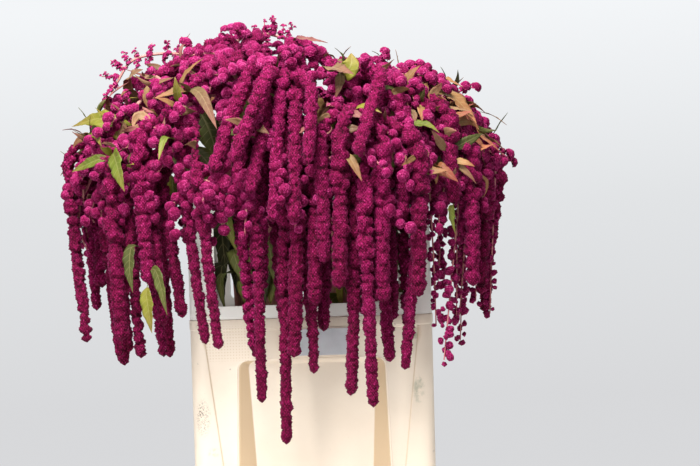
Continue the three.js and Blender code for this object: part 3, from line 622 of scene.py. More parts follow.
# Small helpers, the same as the model's own.
def spread(index, salt):
    value = (index + 1) * 0.6180339887 + salt * 0.7548776662
    return value - math.floor(value)


def mix(a, b, t):
    return a + (b - a) * t


def vec(*values):
    return np.array(values, float)


def size_of(a):
    return float(np.sqrt(np.dot(a, a)))


def unit(a):
    return a / size_of(a)


def bezier(p0, p1, p2, p3, t):
    s = 1 - t
    return s * s * s * p0 + 3 * s * s * t * p1 + 3 * s * t * t * p2 + t * t * t * p3


# Points a fixed step apart along a polyline, with the last one at its end.
def resample(points, step, least=2):
    points = np.array(points, float)
    far = np.concatenate([[0], np.cumsum(np.linalg.norm(np.diff(points, axis=0), axis=1))])
    count = max(least, math.floor(far[-1] / step + 0.5))
    stops = far[-1] * np.arange(count + 1) / count
    return np.stack([np.interp(stops, far, points[:, n]) for n in range(3)], axis=1)


# Growth: the stems, the seed heads' axes, and every tassel, spike and leaf that springs from them.
def stem_curve(base, collar, end, lift):
    up = unit(collar - base)
    riser = collar + up * AXIS["riser"]
    shoulder = vec(
        DOME["x"] + (end[0] - DOME["x"]) * AXIS["shoulder"],
        end[1] * AXIS["shoulder"],
        end[2] + lift,
    )
    return {"base": base, "collar": collar, "points": (collar, riser, shoulder, end)}


def ring_stem(azimuth, reach, end_height, lift):
    c = math.cos(math.radians(azimuth))
    s = math.sin(math.radians(azimuth))
    base = vec(STEM["base_x"] * c, STEM["base_y"] * s, FLOOR + 0.4)
    collar = vec(STEM["collar_x"] * c, STEM["collar_y"] * s, STEM["collar_z"])
    end = vec(DOME["x"] + DOME["half_width"] * reach * c, DOME["half_depth"] * reach * s, end_height)
    return stem_curve(base, collar, end, lift)


def crown_stem(x, y, end_x, end_y, end_z, lift):
    base = vec(x * 0.7, y * 0.7, FLOOR + 0.4)
    return stem_curve(base, vec(x, y, STEM["collar_z"]), vec(end_x, end_y, end_z), lift)


def arch(stem, t):
    return bezier(*stem["points"], t)


def dome_depth(x, z, layer):
    a = DOME["half_width"] - layer * LAYER
    b = DOME["half_depth"] - layer * LAYER
    c = DOME["rise"] - layer * LAYER
    across = (x - DOME["x"]) / a
    above = max(0, z - DOME["level"]) / c
    return -b * math.sqrt(max(0.03, 1 - across * across - above * above))


def dome_normal(p):
    a, b, c = DOME["half_width"], DOME["half_depth"], DOME["rise"]
    return unit(vec((p[0] - DOME["x"]) / (a * a), p[1] / (b * b), max(20, p[2] - DOME["level"]) / (c * c)))


def dome_place(degrees, share, z):
    angle = math.radians(degrees)
    x = DOME["x"] + DOME["half_width"] * share * math.cos(angle)
    return vec(x, DOME["half_depth"] * share * math.sin(angle), z)


def dome_height(share):
    return DOME["level"] + DOME["rise"] * math.sqrt(1 - share * share)


def seed_head_axis(stem, head):
    curve = [arch(stem, mix(STEM["share"], 1, i / 40)) for i in range(41)]
    chords = resample(curve, STEP * AXIS["stride"])
    points = [chords[0]]
    for before, after in zip(chords, chords[1:]):
        for j in range(1, AXIS["stride"] + 1):
            points.append(before + (after - before) * j / AXIS["stride"])
    radii = [
        AXIS["bare"] if k <= AXIS["bare_steps"] else mix(AXIS["clothed"], AXIS["tip"], k / len(points))
        for k in range(len(points))
    ]
    return {"head": head, "kind": "axis", "points": np.array(points), "radii": np.array(radii)}


def root_for(axes, point):
    best = (math.inf, 0, 0)
    for head, axis in enumerate(axes):
        far = np.linalg.norm(axis["points"] - point, axis=1)
        far[: AXIS["bare_steps"]] = math.inf
        k = int(np.argmin(far))
        if far[k] < best[0]:
            best = (far[k], head, k)
    k = max(AXIS["bare_steps"] + 1, best[2] - ROOT_BACK)
    return best[1], axes[best[1]]["points"][k]


def tassel(axes, top, tip, radius, layer):
    head, root = root_for(axes, top)
    span = size_of(top - root)
    outward = (top - root) + dome_normal(top) * span * TASSEL["outward"]
    leave = root + unit(outward) * span * TASSEL["bend"]
    arrive = top - unit(tip - top) * span * TASSEL["bend"]
    points = [bezier(root, leave, arrive, top, i / 12) for i in range(13)] + [tip]
    points = resample(points, STEP)
    radii = radius * np.minimum(1, TASSEL["neck"] + TASSEL["wider"] * np.arange(len(points)))
    radii[-1] = radius * TASSEL["tip"]
    return {
        "head": head,
        "kind": "tassel",
        "points": points,
        "radii": radii,
        "radius": radius,
        "layer": layer,
    }


def front_tassel(axes, top_x, top_z, tip_x, tip_z, radius, layer, look):
    top = vec(top_x, dome_depth(top_x, top_z, layer), top_z)
    tip = vec(tip_x, dome_depth(tip_x, tip_z, layer), tip_z)
    made = tassel(axes, top, tip, radius, layer)
    made["look"] = look
    return made


def back_tassel(axes, index):
    rule = BACK_TASSELS
    angle = mix(rule["from"], rule["to"], (index + 0.5) / rule["count"])
    layer = index % rule["layers"]
    share = 1 - (layer * LAYER) / DOME["half_depth"]
    inward = rule["inward"] + rule["more_inward"] * spread(index, 3)
    top = rule["top"] + rule["top_spread"] * spread(index, 1)
    fall = mix(rule["shortest"], rule["longest"], spread(index, 2))
    radius = mix(*rule["radius"], spread(index, 4))
    tip = dome_place(angle, share * (1 - inward), top - fall)
    made = tassel(axes, dome_place(angle, share, top), tip, radius, layer)
    made["look"] = "beaded" if index % 3 == 1 else "stacked"
    if SPARSE_BACK[0] < tip[0] < SPARSE_BACK[1]:
        made["look"] = "sparse"
    return made


# How far the crown sinks below the dome at an azimuth, from its most at the right and left ends.
def sink_at(degrees, most):
    across = math.cos(math.radians(degrees))
    return most[0] * across if across > 0 else -most[1] * across


def crown_tassel(axes, index):
    rule = CROWN_TASSELS
    angle = 360 * (index + rule["uneven"] * spread(index, 9)) / rule["count"]
    start = rule["lower_top"] if index % 2 else rule["top"]
    end = rule["lower_tip"] if index % 2 else rule["tip"]
    radius = mix(*rule["radius"], spread(index, 10))
    sunk = sink_at(angle, rule["lower_sink"] if index % 2 else rule["sink"])
    top = dome_place(angle, start, dome_height(start) - sunk)
    tip = dome_place(angle, end, dome_height(end) - sunk * rule["tip_sink"])
    made = tassel(axes, top, tip, radius, 0)
    made["look"] = "beaded"
    made["crown"] = True
    return made


def spike(axes, head, index):
    axis = axes[head]["points"]
    order = head * SPIKES_PER_STEM + index
    place = mix(SPIKE["first"], 1, (index + 0.3 + 0.4 * spread(order, 5)) / SPIKES_PER_STEM)
    k = math.floor(place * (len(axis) - 1) + 0.5)
    along = unit(axis[k] - axis[k - 1])
    normal = dome_normal(axis[k])
    side = np.cross(along, normal)
    turn = (1 if index % 2 else -1) * mix(*SPIKE["turn"], spread(order, 6))
    way = unit(normal + side * turn + along * SPIKE["lean"])
    size = mix(SPIKE["shortest"], SPIKE["longest"], spread(order, 7))
    points = resample([axis[k], axis[k] + way * size], STEP)
    radii = [SPIKE["neck"] if (len(points) - 1 - n) % 2 else SPIKE["bead"] for n in range(len(points))]
    return {"head": head, "kind": "spike", "points": points, "radii": np.array(radii)}


# Fillers hang behind the front tassels: each takes its place from its number.
def filler(axes, index):
    rule = FILLERS
    x = mix(rule["from"], rule["to"], (index + 0.5) / rule["count"])
    layer = mix(*rule["layer"], spread(index, 21))
    top = mix(*rule["top"], spread(index, 22))
    tip = mix(*rule["tip"], spread(index, 23))
    lean = mix(-rule["lean"], rule["lean"], spread(index, 24))
    radius = mix(*rule["radius"], spread(index, 25))
    look = "beaded" if index % 3 == 1 else "stacked"
    made = front_tassel(axes, x, top, x + lean, tip, radius, layer, look)
    made["kind"] = "filler"
    return made


def grow_strands(axes):
    strands = list(axes)
    strands += [front_tassel(axes, *row) for row in FRONT_TASSELS]
    strands += [back_tassel(axes, i) for i in range(BACK_TASSELS["count"])]
    strands += [crown_tassel(axes, i) for i in range(CROWN_TASSELS["count"])]
    for head in range(len(axes)):
        strands += [spike(axes, head, i) for i in range(SPIKES_PER_STEM)]
    return strands


def leaf(strands, base, tip, half_width, colour):
    best = (math.inf, None, None)
    for strand in strands:
        if strand["kind"] == "spike":
            continue
        far = np.linalg.norm(strand["points"] - base, axis=1)
        far[:2] = math.inf
        k = int(np.argmin(far))
        if far[k] < best[0]:
            best = (far[k], strand["head"], strand["points"][k])
    rise = base + dome_normal(base) * 8
    points = resample([bezier(best[2], rise, rise, tip, i / 10) for i in range(11)], STEP)
    radii = np.full(len(points), min(9, half_width + 1), float)
    return {
        "head": best[1],
        "kind": "leaf",
        "points": points,
        "radii": radii,
        "half_width": half_width,
        "colour": colour,
    }


def front_leaf(strands, base_x, base_z, tip_x, tip_z, half_width, colour):
    base = vec(base_x, dome_depth(base_x, base_z, 0), base_z)
    tip = vec(tip_x, dome_depth(tip_x, tip_z, -0.7), tip_z)
    return leaf(strands, base, tip, half_width, colour)


def back_leaf(strands, index):
    rule = BACK_LEAVES
    z = mix(rule["low"], rule["high"], spread(index, 11))
    angle = mix(rule["from"], rule["to"], (index + 0.5) / rule["count"])
    share = math.sqrt(1 - ((max(z, DOME["level"]) - DOME["level"]) / DOME["rise"]) ** 2)
    size = mix(rule["shortest"], rule["longest"], spread(index, 12))
    turn = mix(-rule["turn"], rule["turn"], spread(index, 13))
    tip = dome_place(angle + turn, share * 1.08, z - size * 0.8)
    half_width = mix(*rule["half_width"], spread(index, 14))
    return leaf(strands, dome_place(angle, share, z), tip, half_width, rule["colours"][index % 4])


# Pushes neighbouring strands apart, round after round, as hanging tassels settle beside each other.
def settle(strands, is_loose):
    counts = [len(strand["points"]) for strand in strands]
    own = np.repeat(np.arange(len(strands)), counts)
    place = np.concatenate([np.arange(n) for n in counts])
    head = np.repeat([strand["head"] for strand in strands], counts)
    free = np.repeat([is_loose(strand) for strand in strands], counts)
    loose = np.where(free, np.minimum(1, place / RELAX["rooted"]), 0)
    radius = np.concatenate([strand["radii"] for strand in strands])
    rest = np.concatenate([strand["points"] for strand in strands])
    at = rest.copy()
    first, second = np.triu_indices(len(at), 1)
    same = head[first] == head[second]
    rooted = same & ((place[first] < RELAX["rooted"]) | (place[second] < RELAX["rooted"]))
    may_meet = ~rooted & (own[first] != own[second]) & (loose[first] + loose[second] > 0)
    first, second, same = first[may_meet], second[may_meet], same[may_meet]
    wanted = radius[first] + radius[second] + np.where(same, RELAX["same"], RELAX["apart"])
    for step in range(RELAX["rounds"]):
        if step % RELAX["refresh"] == 0:
            apart = at[first] - at[second]
            near = (apart * apart).sum(1) < (wanted + RELAX["reach"]) ** 2
            pairs = (first[near], second[near], wanted[near])
        push_apart(at, loose, *pairs)
        outside_collar(at, radius, loose)
        early = step < RELAX["rounds"] - RELAX["calm"]
        even_out(at, rest, own, loose, 1 if early else RELAX["calm_share"])
    for strand, made in zip(strands, np.split(at, np.cumsum(counts)[:-1])):
        strand["points"] = made


def push_apart(at, loose, first, second, wanted):
    way = at[first] - at[second]
    far = np.sqrt((way * way).sum(1))
    close = far < wanted
    first, second, way, far = first[close], second[close], way[close], far[close]
    move = way * (RELAX["push"] * (wanted[close] - far) / far)[:, None]
    for n in range(3):
        pushed = np.bincount(first, move[:, n], len(at)) - np.bincount(second, move[:, n], len(at))
        at[:, n] += pushed * loose


# Keeps the beads out of the bucket and its collar.
def outside_collar(at, radius, loose):
    out_x = RIM["width"] / 2 + radius + RELAX["collar_gap"]
    out_y = RIM["depth"] / 2 + radius + RELAX["collar_gap"]
    gap_x = out_x - np.abs(at[:, 0])
    gap_y = out_y - np.abs(at[:, 1])
    inside = (loose > 0) & (at[:, 2] <= COLLAR["top"] + radius) & (gap_x > 0) & (gap_y > 0)
    by_x = inside & (gap_x < gap_y)
    by_y = inside & ~by_x
    at[by_x, 0] = (np.sign(at[:, 0]) * out_x)[by_x]
    at[by_y, 1] = (np.sign(at[:, 1]) * out_y)[by_y]


# Evens out how far neighbouring beads of one strand have moved, so that it bends smoothly.
def even_out(at, rest, own, loose, amount):
    moved = at - rest
    before = np.concatenate([moved[:1], moved[:-1]])
    after = np.concatenate([moved[1:], moved[-1:]])
    starts = np.concatenate([[True], own[1:] != own[:-1]])
    ends = np.concatenate([own[1:] != own[:-1], [True]])
    before[starts] = moved[starts]
    after[ends] = moved[ends]
    even = (before + 2 * moved + after) / 4
    free = loose > 0
    at[free] = (rest + moved + (even - moved) * amount)[free]


# Meshes gather as arrays of points, triangles and values for each point, and become one object each.
class Gather:
    # The grain value carries the florets' painted shade: light on peaks, dark in valleys and in the creases
    # between clusters.
    keys = ("grain", "tint")

    def __init__(self):
        self.points = []
        self.faces = []
        self.values = {key: [] for key in self.keys}
        self.count = 0

    def add(self, points, faces, *values):
        self.points.append(points)
        self.faces.append(np.asarray(faces, int) + self.count)
        for key, value in zip(self.keys, values):
            self.values[key].append(np.broadcast_to(value, len(points)))
        self.count += len(points)

    def make(self, name, material):
        mesh = mesh_of(name, np.concatenate(self.points), np.concatenate(self.faces))
        for key, parts in self.values.items():
            layer = mesh.attributes.new(key, "FLOAT", "POINT")
            layer.data.foreach_set("value", np.concatenate(parts).astype(np.float32))
        return placed(name, mesh, material)


# Leaves and thin stalks gather a colour too, and values for their place on the blade.
class Foliage(Gather):
    keys = ("across", "along", "woody")

    def __init__(self):
        super().__init__()
        self.colours = []

    def add(self, points, faces, colours, *values):
        super().add(points, faces, *values)
        self.colours.append(np.broadcast_to(colours, (len(points), 3)))

    def make(self, name, material):
        piece = super().make(name, material)
        colours = np.concatenate(self.colours)
        layer = piece.data.attributes.new("colour", "FLOAT_COLOR", "POINT")
        layer.data.foreach_set("color", np.column_stack([colours, np.ones(len(colours))]).ravel())
        return piece


def mesh_of(name, points, faces):
    mesh = bpy.data.meshes.new(name)
    sides = faces.shape[1]
    mesh.vertices.add(len(points))
    mesh.vertices.foreach_set("co", np.asarray(points * MM, np.float32).ravel())
    mesh.loops.add(faces.size)
    mesh.loops.foreach_set("vertex_index", faces.astype(np.int32).ravel())
    mesh.polygons.add(len(faces))
    mesh.polygons.foreach_set("loop_start", np.arange(0, faces.size, sides, dtype=np.int32))
    mesh.polygons.foreach_set("use_smooth", np.ones(len(faces), bool))
    mesh.update(calc_edges=True)
    return mesh


def placed(name, mesh, material):
    piece = bpy.data.objects.new(name, mesh)
    bpy.context.scene.collection.objects.link(piece)
    mesh.materials.append(material)
    return piece


# Each piece stands still and takes the place of a node of the model.
def hand_over(piece, node):
    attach(piece, "root")
    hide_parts(node)


def nearest(places, point):
    return int(np.argmin(np.linalg.norm(places - point, axis=1)))


# A curve from one point to another that bends toward two others.
def curve(start, first, second, end, count):
    return np.array([bezier(start, first, second, end, t) for t in np.linspace(0, 1, count)])


# A smooth curve through the points of a strand, with even steps.
def smooth_path(points, step):
    padded = np.concatenate([[2 * points[0] - points[1]], points, [2 * points[-1] - points[-2]]])
    t = np.linspace(0, 1, 9)[:-1, None]
    pieces = []
    for k in range(len(points) - 1):
        a, b, c, d = padded[k : k + 4]
        bend = (2 * a - 5 * b + 4 * c - d) * t * t
        pieces.append(0.5 * (2 * b + (c - a) * t + bend + (3 * b - a - 3 * c + d) * t**3))
    return resample(np.concatenate(pieces + [points[-1:]]), step, 4)


# Two directions square to a path at each of its points, which turn as little as they can.
def path_frames(path):
    along = np.gradient(path, axis=0)
    along /= np.linalg.norm(along, axis=1)[:, None]
    across = np.empty_like(along)
    side = np.cross(SIDE_HINT, along[0])
    for k, way in enumerate(along):
        side = side - way * np.dot(side, way)
        side = side / size_of(side)
        across[k] = side
    return along, across, np.cross(along, across)


# Rings of points round a path, at these distances and angles from it.
def ring_points(path, across, over, out, angle):
    aside = across[:, None, :] * (out * np.cos(angle))[..., None]
    return path[:, None, :] + aside + over[:, None, :] * (out * np.sin(angle))[..., None]


# The triangles of a tube of rings, each square cut from valley to valley, with a point at both ends.
def tube_faces(rings, sides):
    ring, spot = np.meshgrid(np.arange(rings - 1), np.arange(sides), indexing="ij")
    ring, spot = ring.ravel(), spot.ravel()
    after = (spot + 1) % sides
    a = ring * sides + spot
    b = ring * sides + after
    c = (ring + 1) * sides + after
    d = (ring + 1) * sides + spot
    even = ((ring + spot) % 2 == 0)[:, None]
    first = np.where(even, np.stack([a, b, d], 1), np.stack([a, b, c], 1))
    second = np.where(even, np.stack([b, c, d], 1), np.stack([a, c, d], 1))
    around = np.arange(sides)
    start = rings * sides
    last = (rings - 1) * sides
    fan = np.stack([np.full(sides, start), (around + 1) % sides, around], 1)
    tip = np.stack([np.full(sides, start + 1), last + around, last + (around + 1) % sides], 1)
    return np.concatenate([first, second, fan, tip])


# Clusters along a tassel as balls: place along it, offset from its middle across and over, and radius.
def cluster_balls(total, radius_of, look, draw):
    balls = []
    far = 0.0
    turn = draw.uniform(0, 6)
    while far < total:
        radius = radius_of(far / total)
        turn += draw.uniform(0.3, 0.9)
        for k in range(look["around"]):
            angle = turn + 2 * math.pi * (k + draw.uniform(-0.25, 0.25)) / look["around"]
            size = radius * draw.uniform(*look["size"])
            offset = radius * look["offset"] * draw.uniform(0.8, 1.2)
            place = far + draw.uniform(-1, 1) * look["stray"] * radius
            balls.append((place, offset * math.cos(angle), offset * math.sin(angle), size))
        far += look["pitch"] * radius * draw.uniform(0.85, 1.15)
    return np.array(balls)


# How far out from a tassel's middle its clusters reach in each direction, and how high a place lies on one.
def reach_of(balls, place, angle, least):
    out = np.array(least)
    crown = np.zeros(out.shape)
    cos, sin = np.cos(angle), np.sin(angle)
    rows = place.mean(1)
    for far, across, over, size in balls:
        near = np.abs(rows - far) < size + 2
        if not near.any():
            continue
        up = across * cos[near] + over * sin[near]
        gap = (place[near] - far) ** 2 + across * across + over * over - up * up
        inside = size * size - gap
        hit = np.where(inside > 0, up + np.sqrt(np.maximum(inside, 0)), 0)
        better = hit > out[near]
        level = np.sqrt(np.clip(inside, 0, None)) / size
        crown[near] = np.where(better, level, crown[near])
        out[near] = np.where(better, hit, out[near])
    return out, crown


# A tassel: clusters of florets crowd round a path, each floret a small point above valleys darkened with
# painted shade.
def tassel_skin(gather, path, radius_of, look, grain, tint, draw):
    along, across, over = path_frames(path)
    rings = len(path)
    share = np.linspace(0, 1, rings)
    step = size_of(path[1] - path[0])
    total = step * (rings - 1)
    radius = np.array([radius_of(t) for t in share])
    widest = radius.max()
    sides = max(8, 2 * int(round(math.pi * widest / grain)))
    grid = (rings, sides)
    stray = draw.uniform(-SKIN["stray"], SKIN["stray"], grid)
    angle = 2 * math.pi * (np.arange(sides)[None, :] + stray) / sides
    slide = draw.uniform(-SKIN["stray"], SKIN["stray"], grid) * step
    place = share[:, None] * total + slide
    from_tip = np.clip((total - place) / widest, 0, 1)
    from_root = np.clip((place + SKIN["root"] * widest) / widest, 0, 1)
    rounding = np.sqrt(1 - (1 - from_tip) ** 2) * np.sqrt(1 - (1 - from_root) ** 2)
    least = (radius * look["core"])[:, None] * np.ones(grid)
    out, crown = reach_of(cluster_balls(total, radius_of, look, draw), place, angle, least)
    out = np.minimum(out, radius[:, None] * SKIN["most"]) * np.maximum(rounding, SKIN["least"])
    peak = (np.arange(rings)[:, None] + np.arange(sides)[None, :]) % 2 == 0
    height = np.where(peak, draw.uniform(*SKIN["peak"], grid), draw.uniform(*SKIN["valley"], grid))
    out = out + height * FLORET * (SKIN["lowest"] + (1 - SKIN["lowest"]) * rounding)
    slid = path[:, None, :] + along[:, None, :] * slide[..., None]
    aside = across[:, None, :] * (out * np.cos(angle))[..., None]
    points = (slid + aside + over[:, None, :] * (out * np.sin(angle))[..., None]).reshape(-1, 3)
    ends = np.stack([path[0] - along[0] * FLORET, path[-1] + along[-1] * FLORET])
    # Painted shade: valleys dark and peaks light, and all of it darker in the creases between clusters.
    shade = np.where(peak, draw.uniform(*SKIN["light"], grid), draw.uniform(*SKIN["dark"], grid))
    shade = shade * (SKIN["crease_shade"] + (1 - SKIN["crease_shade"]) * crown)
    points = np.concatenate([points, ends])
    paler = np.clip(tint + (points[:, 2] - DOME["level"]) * TINT_RISE, 0, 1)
    gather.add(points, tube_faces(rings, sides), np.concatenate([shade.ravel(), SKIN["ends"]]), paler)


# Round clusters: a few patterns of florets on a ball, each a point above the valleys round it.
def ball_pattern(count, draw):
    k = np.arange(count) + 0.5
    z = 1 - 2 * k / count
    turn = k * math.pi * GOLDEN
    flat = np.sqrt(1 - z * z)
    peaks = np.stack([flat * np.cos(turn), flat * np.sin(turn), z], 1)
    peaks += draw.normal(0, BALL["stray"] / math.sqrt(count), peaks.shape)
    peaks /= np.linalg.norm(peaks, axis=1)[:, None]
    work = bmesh.new()
    for p in peaks:
        work.verts.new(p)
    bmesh.ops.convex_hull(work, input=work.verts)
    work.verts.index_update()
    hull = np.array([[v.index for v in face.verts] for face in work.faces])
    peaks = np.array([v.co[:] for v in work.verts])
    work.free()
    valleys = peaks[hull].mean(1)
    valleys /= np.linalg.norm(valleys, axis=1)[:, None]
    size = FLORET / math.sqrt(count * FLORET_AREA / (4 * math.pi))
    high = 1 + size * draw.uniform(*BALL["peak"], len(peaks))
    low = 1 - size * draw.uniform(*BALL["valley"], len(valleys))
    points = np.concatenate([peaks * high[:, None], valleys * low[:, None]])
    centre = len(peaks) + np.arange(len(hull))
    faces = np.concatenate([np.stack([hull[:, n], hull[:, (n + 1) % 3], centre], 1) for n in range(3)])
    # Painted shade: dark valleys between light peaks.
    light = draw.uniform(*BALL["light"], len(peaks))
    return points, faces, np.concatenate([light, draw.uniform(*BALL["dark"], len(valleys))])


def turned(draw):
    q = draw.normal(0, 1, 4)
    w, x, y, z = q / np.linalg.norm(q)
    return np.array([
        [1 - 2 * (y * y + z * z), 2 * (x * y - z * w), 2 * (x * z + y * w)],
        [2 * (x * y + z * w), 1 - 2 * (x * x + z * z), 2 * (y * z - x * w)],
        [2 * (x * z - y * w), 2 * (y * z + x * w), 1 - 2 * (x * x + y * y)],
    ])


# A cluster keeps the part of its ball that faces out of the bunch, unless it hangs free: the rest is buried.
def add_ball(gather, patterns, centre, radius, tint, draw, free=False):
    far_back = centre[1] > BALL["behind_y"]
    area = 4 * math.pi * radius * radius * (BALL["behind"] if far_back else BALL["before"])
    count = min(patterns, key=lambda size: abs(size * FLORET_AREA - area))
    points, faces, shade = patterns[count][int(draw.integers(len(patterns[count])))]
    points = points @ turned(draw).T
    outward = dome_normal(centre)
    shown = (points[faces].mean(1) @ outward) > (-2 if free else BALL["buried"])
    kept, faces = np.unique(faces[shown], return_inverse=True)
    points = points[kept] * radius * draw.uniform(*BALL["squash"], 3)
    gather.add(points + centre, faces.reshape(-1, 3), shade[kept], tint)


# A thin ribbed stalk along a path.
def stalk_skin(foliage, path, radii, colours, sides=8):
    along, across, over = path_frames(path)
    rings = len(path)
    radius = np.linspace(*radii, rings)
    angle = 2 * math.pi * np.arange(sides) / sides
    out = radius[:, None] * (1 + 0.07 * np.cos(angle * 4))[None, :]
    points = ring_points(path, across, over, out, angle).reshape(-1, 3)
    points = np.concatenate([points, path[:1], path[-1:] + along[-1:] * radii[1]])
    share = np.concatenate([np.repeat(np.linspace(0, 1, rings), sides), [0, 1]])
    start, end = (np.array(colour)[None, :] for colour in colours)
    foliage.add(points, tube_faces(rings, sides), mix(start, end, share[:, None]), 0, share, 1)


# The side and the face of a leaf at each point of its path, twisted more and more toward its tip.
def leaf_frames(path, twist):
    along = np.gradient(path, axis=0)
    along /= np.linalg.norm(along, axis=1)[:, None]
    side = unit(np.cross(path[-1] - path[0], dome_normal(path[(len(path) - 1) // 2])))
    side = side[None, :] - along * (along @ side)[:, None]
    side /= np.linalg.norm(side, axis=1)[:, None]
    face = np.cross(side, along)
    cos, sin = np.cos(twist)[:, None], np.sin(twist)[:, None]
    return side * cos + face * sin, face * cos - side * sin


# The triangles of a blade: its upper and lower faces and its two edges.
def blade_faces(rows, columns):
    n = columns + 1
    i, j = np.meshgrid(np.arange(rows), np.arange(columns), indexing="ij")
    a = (i * n + j).ravel()
    above = np.concatenate([np.stack([a, a + 1, a + n + 1], 1), np.stack([a, a + n + 1, a + n], 1)])
    under = n * (rows + 1)
    faces = [above, above[:, ::-1] + under]
    for column, flip in ((0, False), (columns, True)):
        p = np.arange(rows) * n + column
        q = p + n
        rim = np.concatenate([np.stack([p, q, q + under], 1), np.stack([p, q + under, p + under], 1)])
        faces.append(rim[:, ::-1] if flip else rim)
    return np.concatenate(faces)


# A leaf blade: widest below the middle, drawn out to its tip, folded at the midrib and waved at its edges.
def leaf_skin(foliage, path, half_width, colour, draw, rows=22, columns=8, curl=0.35):
    path = smooth_path(path, size_of(path[-1] - path[0]) / rows)
    far = np.linspace(0, 1, rows + 1)
    place = np.linspace(0, 1, len(path))
    path = np.stack([np.interp(far, place, path[:, n]) for n in range(3)], 1)
    side, face = leaf_frames(path, mix(-curl, curl, draw.random()) * far)
    blade = np.clip((far - BLADE["stalk"]) / (1 - BLADE["stalk"]), 0, 1)
    full = np.sin(math.pi * blade ** BLADE["fullest"]) ** BLADE["full"]
    width = half_width * full * (1 - 0.25 * blade) * 1.12 + BLADE["root"] * (1 - blade)
    across = np.linspace(-1, 1, columns + 1)
    aside = np.abs(across)
    phase = draw.random() * 6
    wave = sum(
        high * np.sin(far * turns + phase)[:, None] * across**power
        for high, turns, power in BLADE["waves"]
    )
    fold = BLADE["fold"][0] * aside[None, :] - BLADE["fold"][1] * across[None, :] ** 2
    rows_of_veins = far[:, None] * VEINS["count"] - aside[None, :] * VEINS["slant"]
    ribs = BLADE["rib"] * np.cos(rows_of_veins * 2 * math.pi) * aside
    lift = width[:, None] * (fold + wave + ribs)
    spread_out = side[:, None] * (width[:, None] * across)[..., None]
    top = path[:, None] + spread_out + face[:, None] * lift[..., None]
    under = top - face[:, None] * (BLADE["thickness"] * (1.1 - aside))[None, :, None]
    points = np.concatenate([top.reshape(-1, 3), under.reshape(-1, 3)])
    start, middle, end = (np.array(c) for c in LEAF_COLOURS[colour])
    t = np.repeat(far, columns + 1)[:, None]
    shades = np.where(t < 0.5, mix(start, middle, 2 * t), mix(middle, end, 2 * t - 1))
    shades = shades * draw.uniform(*BLADE["shade"])
    shades = np.concatenate([shades, shades * BLADE["under"]])
    sides = np.tile(np.tile(across, rows + 1), 2)
    lengths = np.tile(np.repeat(far, columns + 1), 2)
    foliage.add(points, blade_faces(rows, columns), shades, sides, lengths, 0)


# The bucket and its collar are rings of points round a rectangle with round corners, level by level.
def corner_arc(x, y, corner, first, last):
    angle = np.radians(mix(first, last, np.arange(CORNER_STEPS) / CORNER_STEPS))
    return np.stack([x + corner * np.cos(angle), y + corner * np.sin(angle)], 1)


# A ring from its front line, from left to right, turned round for the back.
def round_ring(front, half_width, half_depth, corner, z):
    x, y = half_width - corner, half_depth - corner
    aside = np.stack([np.full(SIDE_STEPS, half_width), mix(-y, y, np.arange(SIDE_STEPS) / SIDE_STEPS)], 1)
    arcs = (corner_arc(x, -y, corner, -90, 0), aside, corner_arc(x, y, corner, 0, 90))
    half = np.concatenate([front[:-1], *arcs])
    ring = np.concatenate([half, -half])
    return np.column_stack([ring, np.full(len(ring), z)])


# A slope from 0 to 1 whose foot and shoulder are rounded.
def eased(t, bend=0.03):
    if t <= -bend:
        return 0.0
    if t < bend:
        return (t + bend) ** 2 / (4 * bend)
    if t <= 1 - bend:
        return t
    return 1 - (1 + bend - t) ** 2 / (4 * bend) if t < 1 + bend else 1.0


def panel_at(panel, z):
    z = min(panel["top"], max(panel["bottom"], z))
    down = (panel["top"] - z) / (panel["top"] - panel["bottom"])
    face, inset, depth = (mix(*panel[key], down) for key in ("face", "inset", "depth"))
    above = panel["corner"] - (panel["top"] - z)
    if above > 0:
        face -= panel["corner"] - math.sqrt(panel["corner"] ** 2 - above**2)
    return face, inset, depth


def panel_depth(panel, x, z):
    face, inset, depth = panel_at(panel, z)
    slope = PANEL_SLOPE * panel["inset"][0]
    slopes = [(face - abs(x)) / inset, (panel["top"] - z) / slope, (z - panel["bottom"]) / slope]
    return depth * min(eased(t) for t in slopes)


# Whether a place lies on the sloping wall of a panel: 1 on it, and 0 on the panel's floor and outside it.
def wall_share(panel, x, z):
    face, inset, _ = panel_at(panel, z)
    t = (face - abs(x)) / inset
    return 1.0 if panel["bottom"] <= z <= panel["top"] and 0.02 < t < 0.98 else 0.0


# The narrow lip that stands round the recess.
def lip_height(x, z):
    face, _, _ = panel_at(RECESS, z)
    past_side = abs(x) - face
    past_top = z - RECESS["top"]
    if z < RECESS["bottom"]:
        return 0.0
    past = max(past_side, past_top) if min(past_side, past_top) < 0 else math.hypot(past_side, past_top)
    return LIP["height"] * math.exp(-(((past - LIP["place"]) / LIP["width"]) ** 2))


# Places across half of the front where its panels bend, from the middle out to the corner's start.
def front_stops(z, limit):
    face, inset, _ = panel_at(RECESS, z)
    gusset, step, _ = panel_at(GUSSET, z)
    floor = face - inset
    stops = [floor * share for share in (0, 0.25, 0.5, 0.75)]
    stops += [floor + past for past in (-4, -1.5, 0, 1.5)]
    stops += [floor + share * inset for share in (0.35, 0.7)]
    stops += [face + past for past in (-2.5, -1, 0, 0.8, 1.6, 2.6, 4)]
    stops += [mix(face, gusset, 0.5), gusset - step - 1, gusset - step, gusset - step / 2]
    stops += [gusset, gusset + 1.2, mix(gusset, limit, 0.5)]
    return [min(stop, limit - 0.3 * (len(stops) - k)) for k, stop in enumerate(stops)] + [limit]


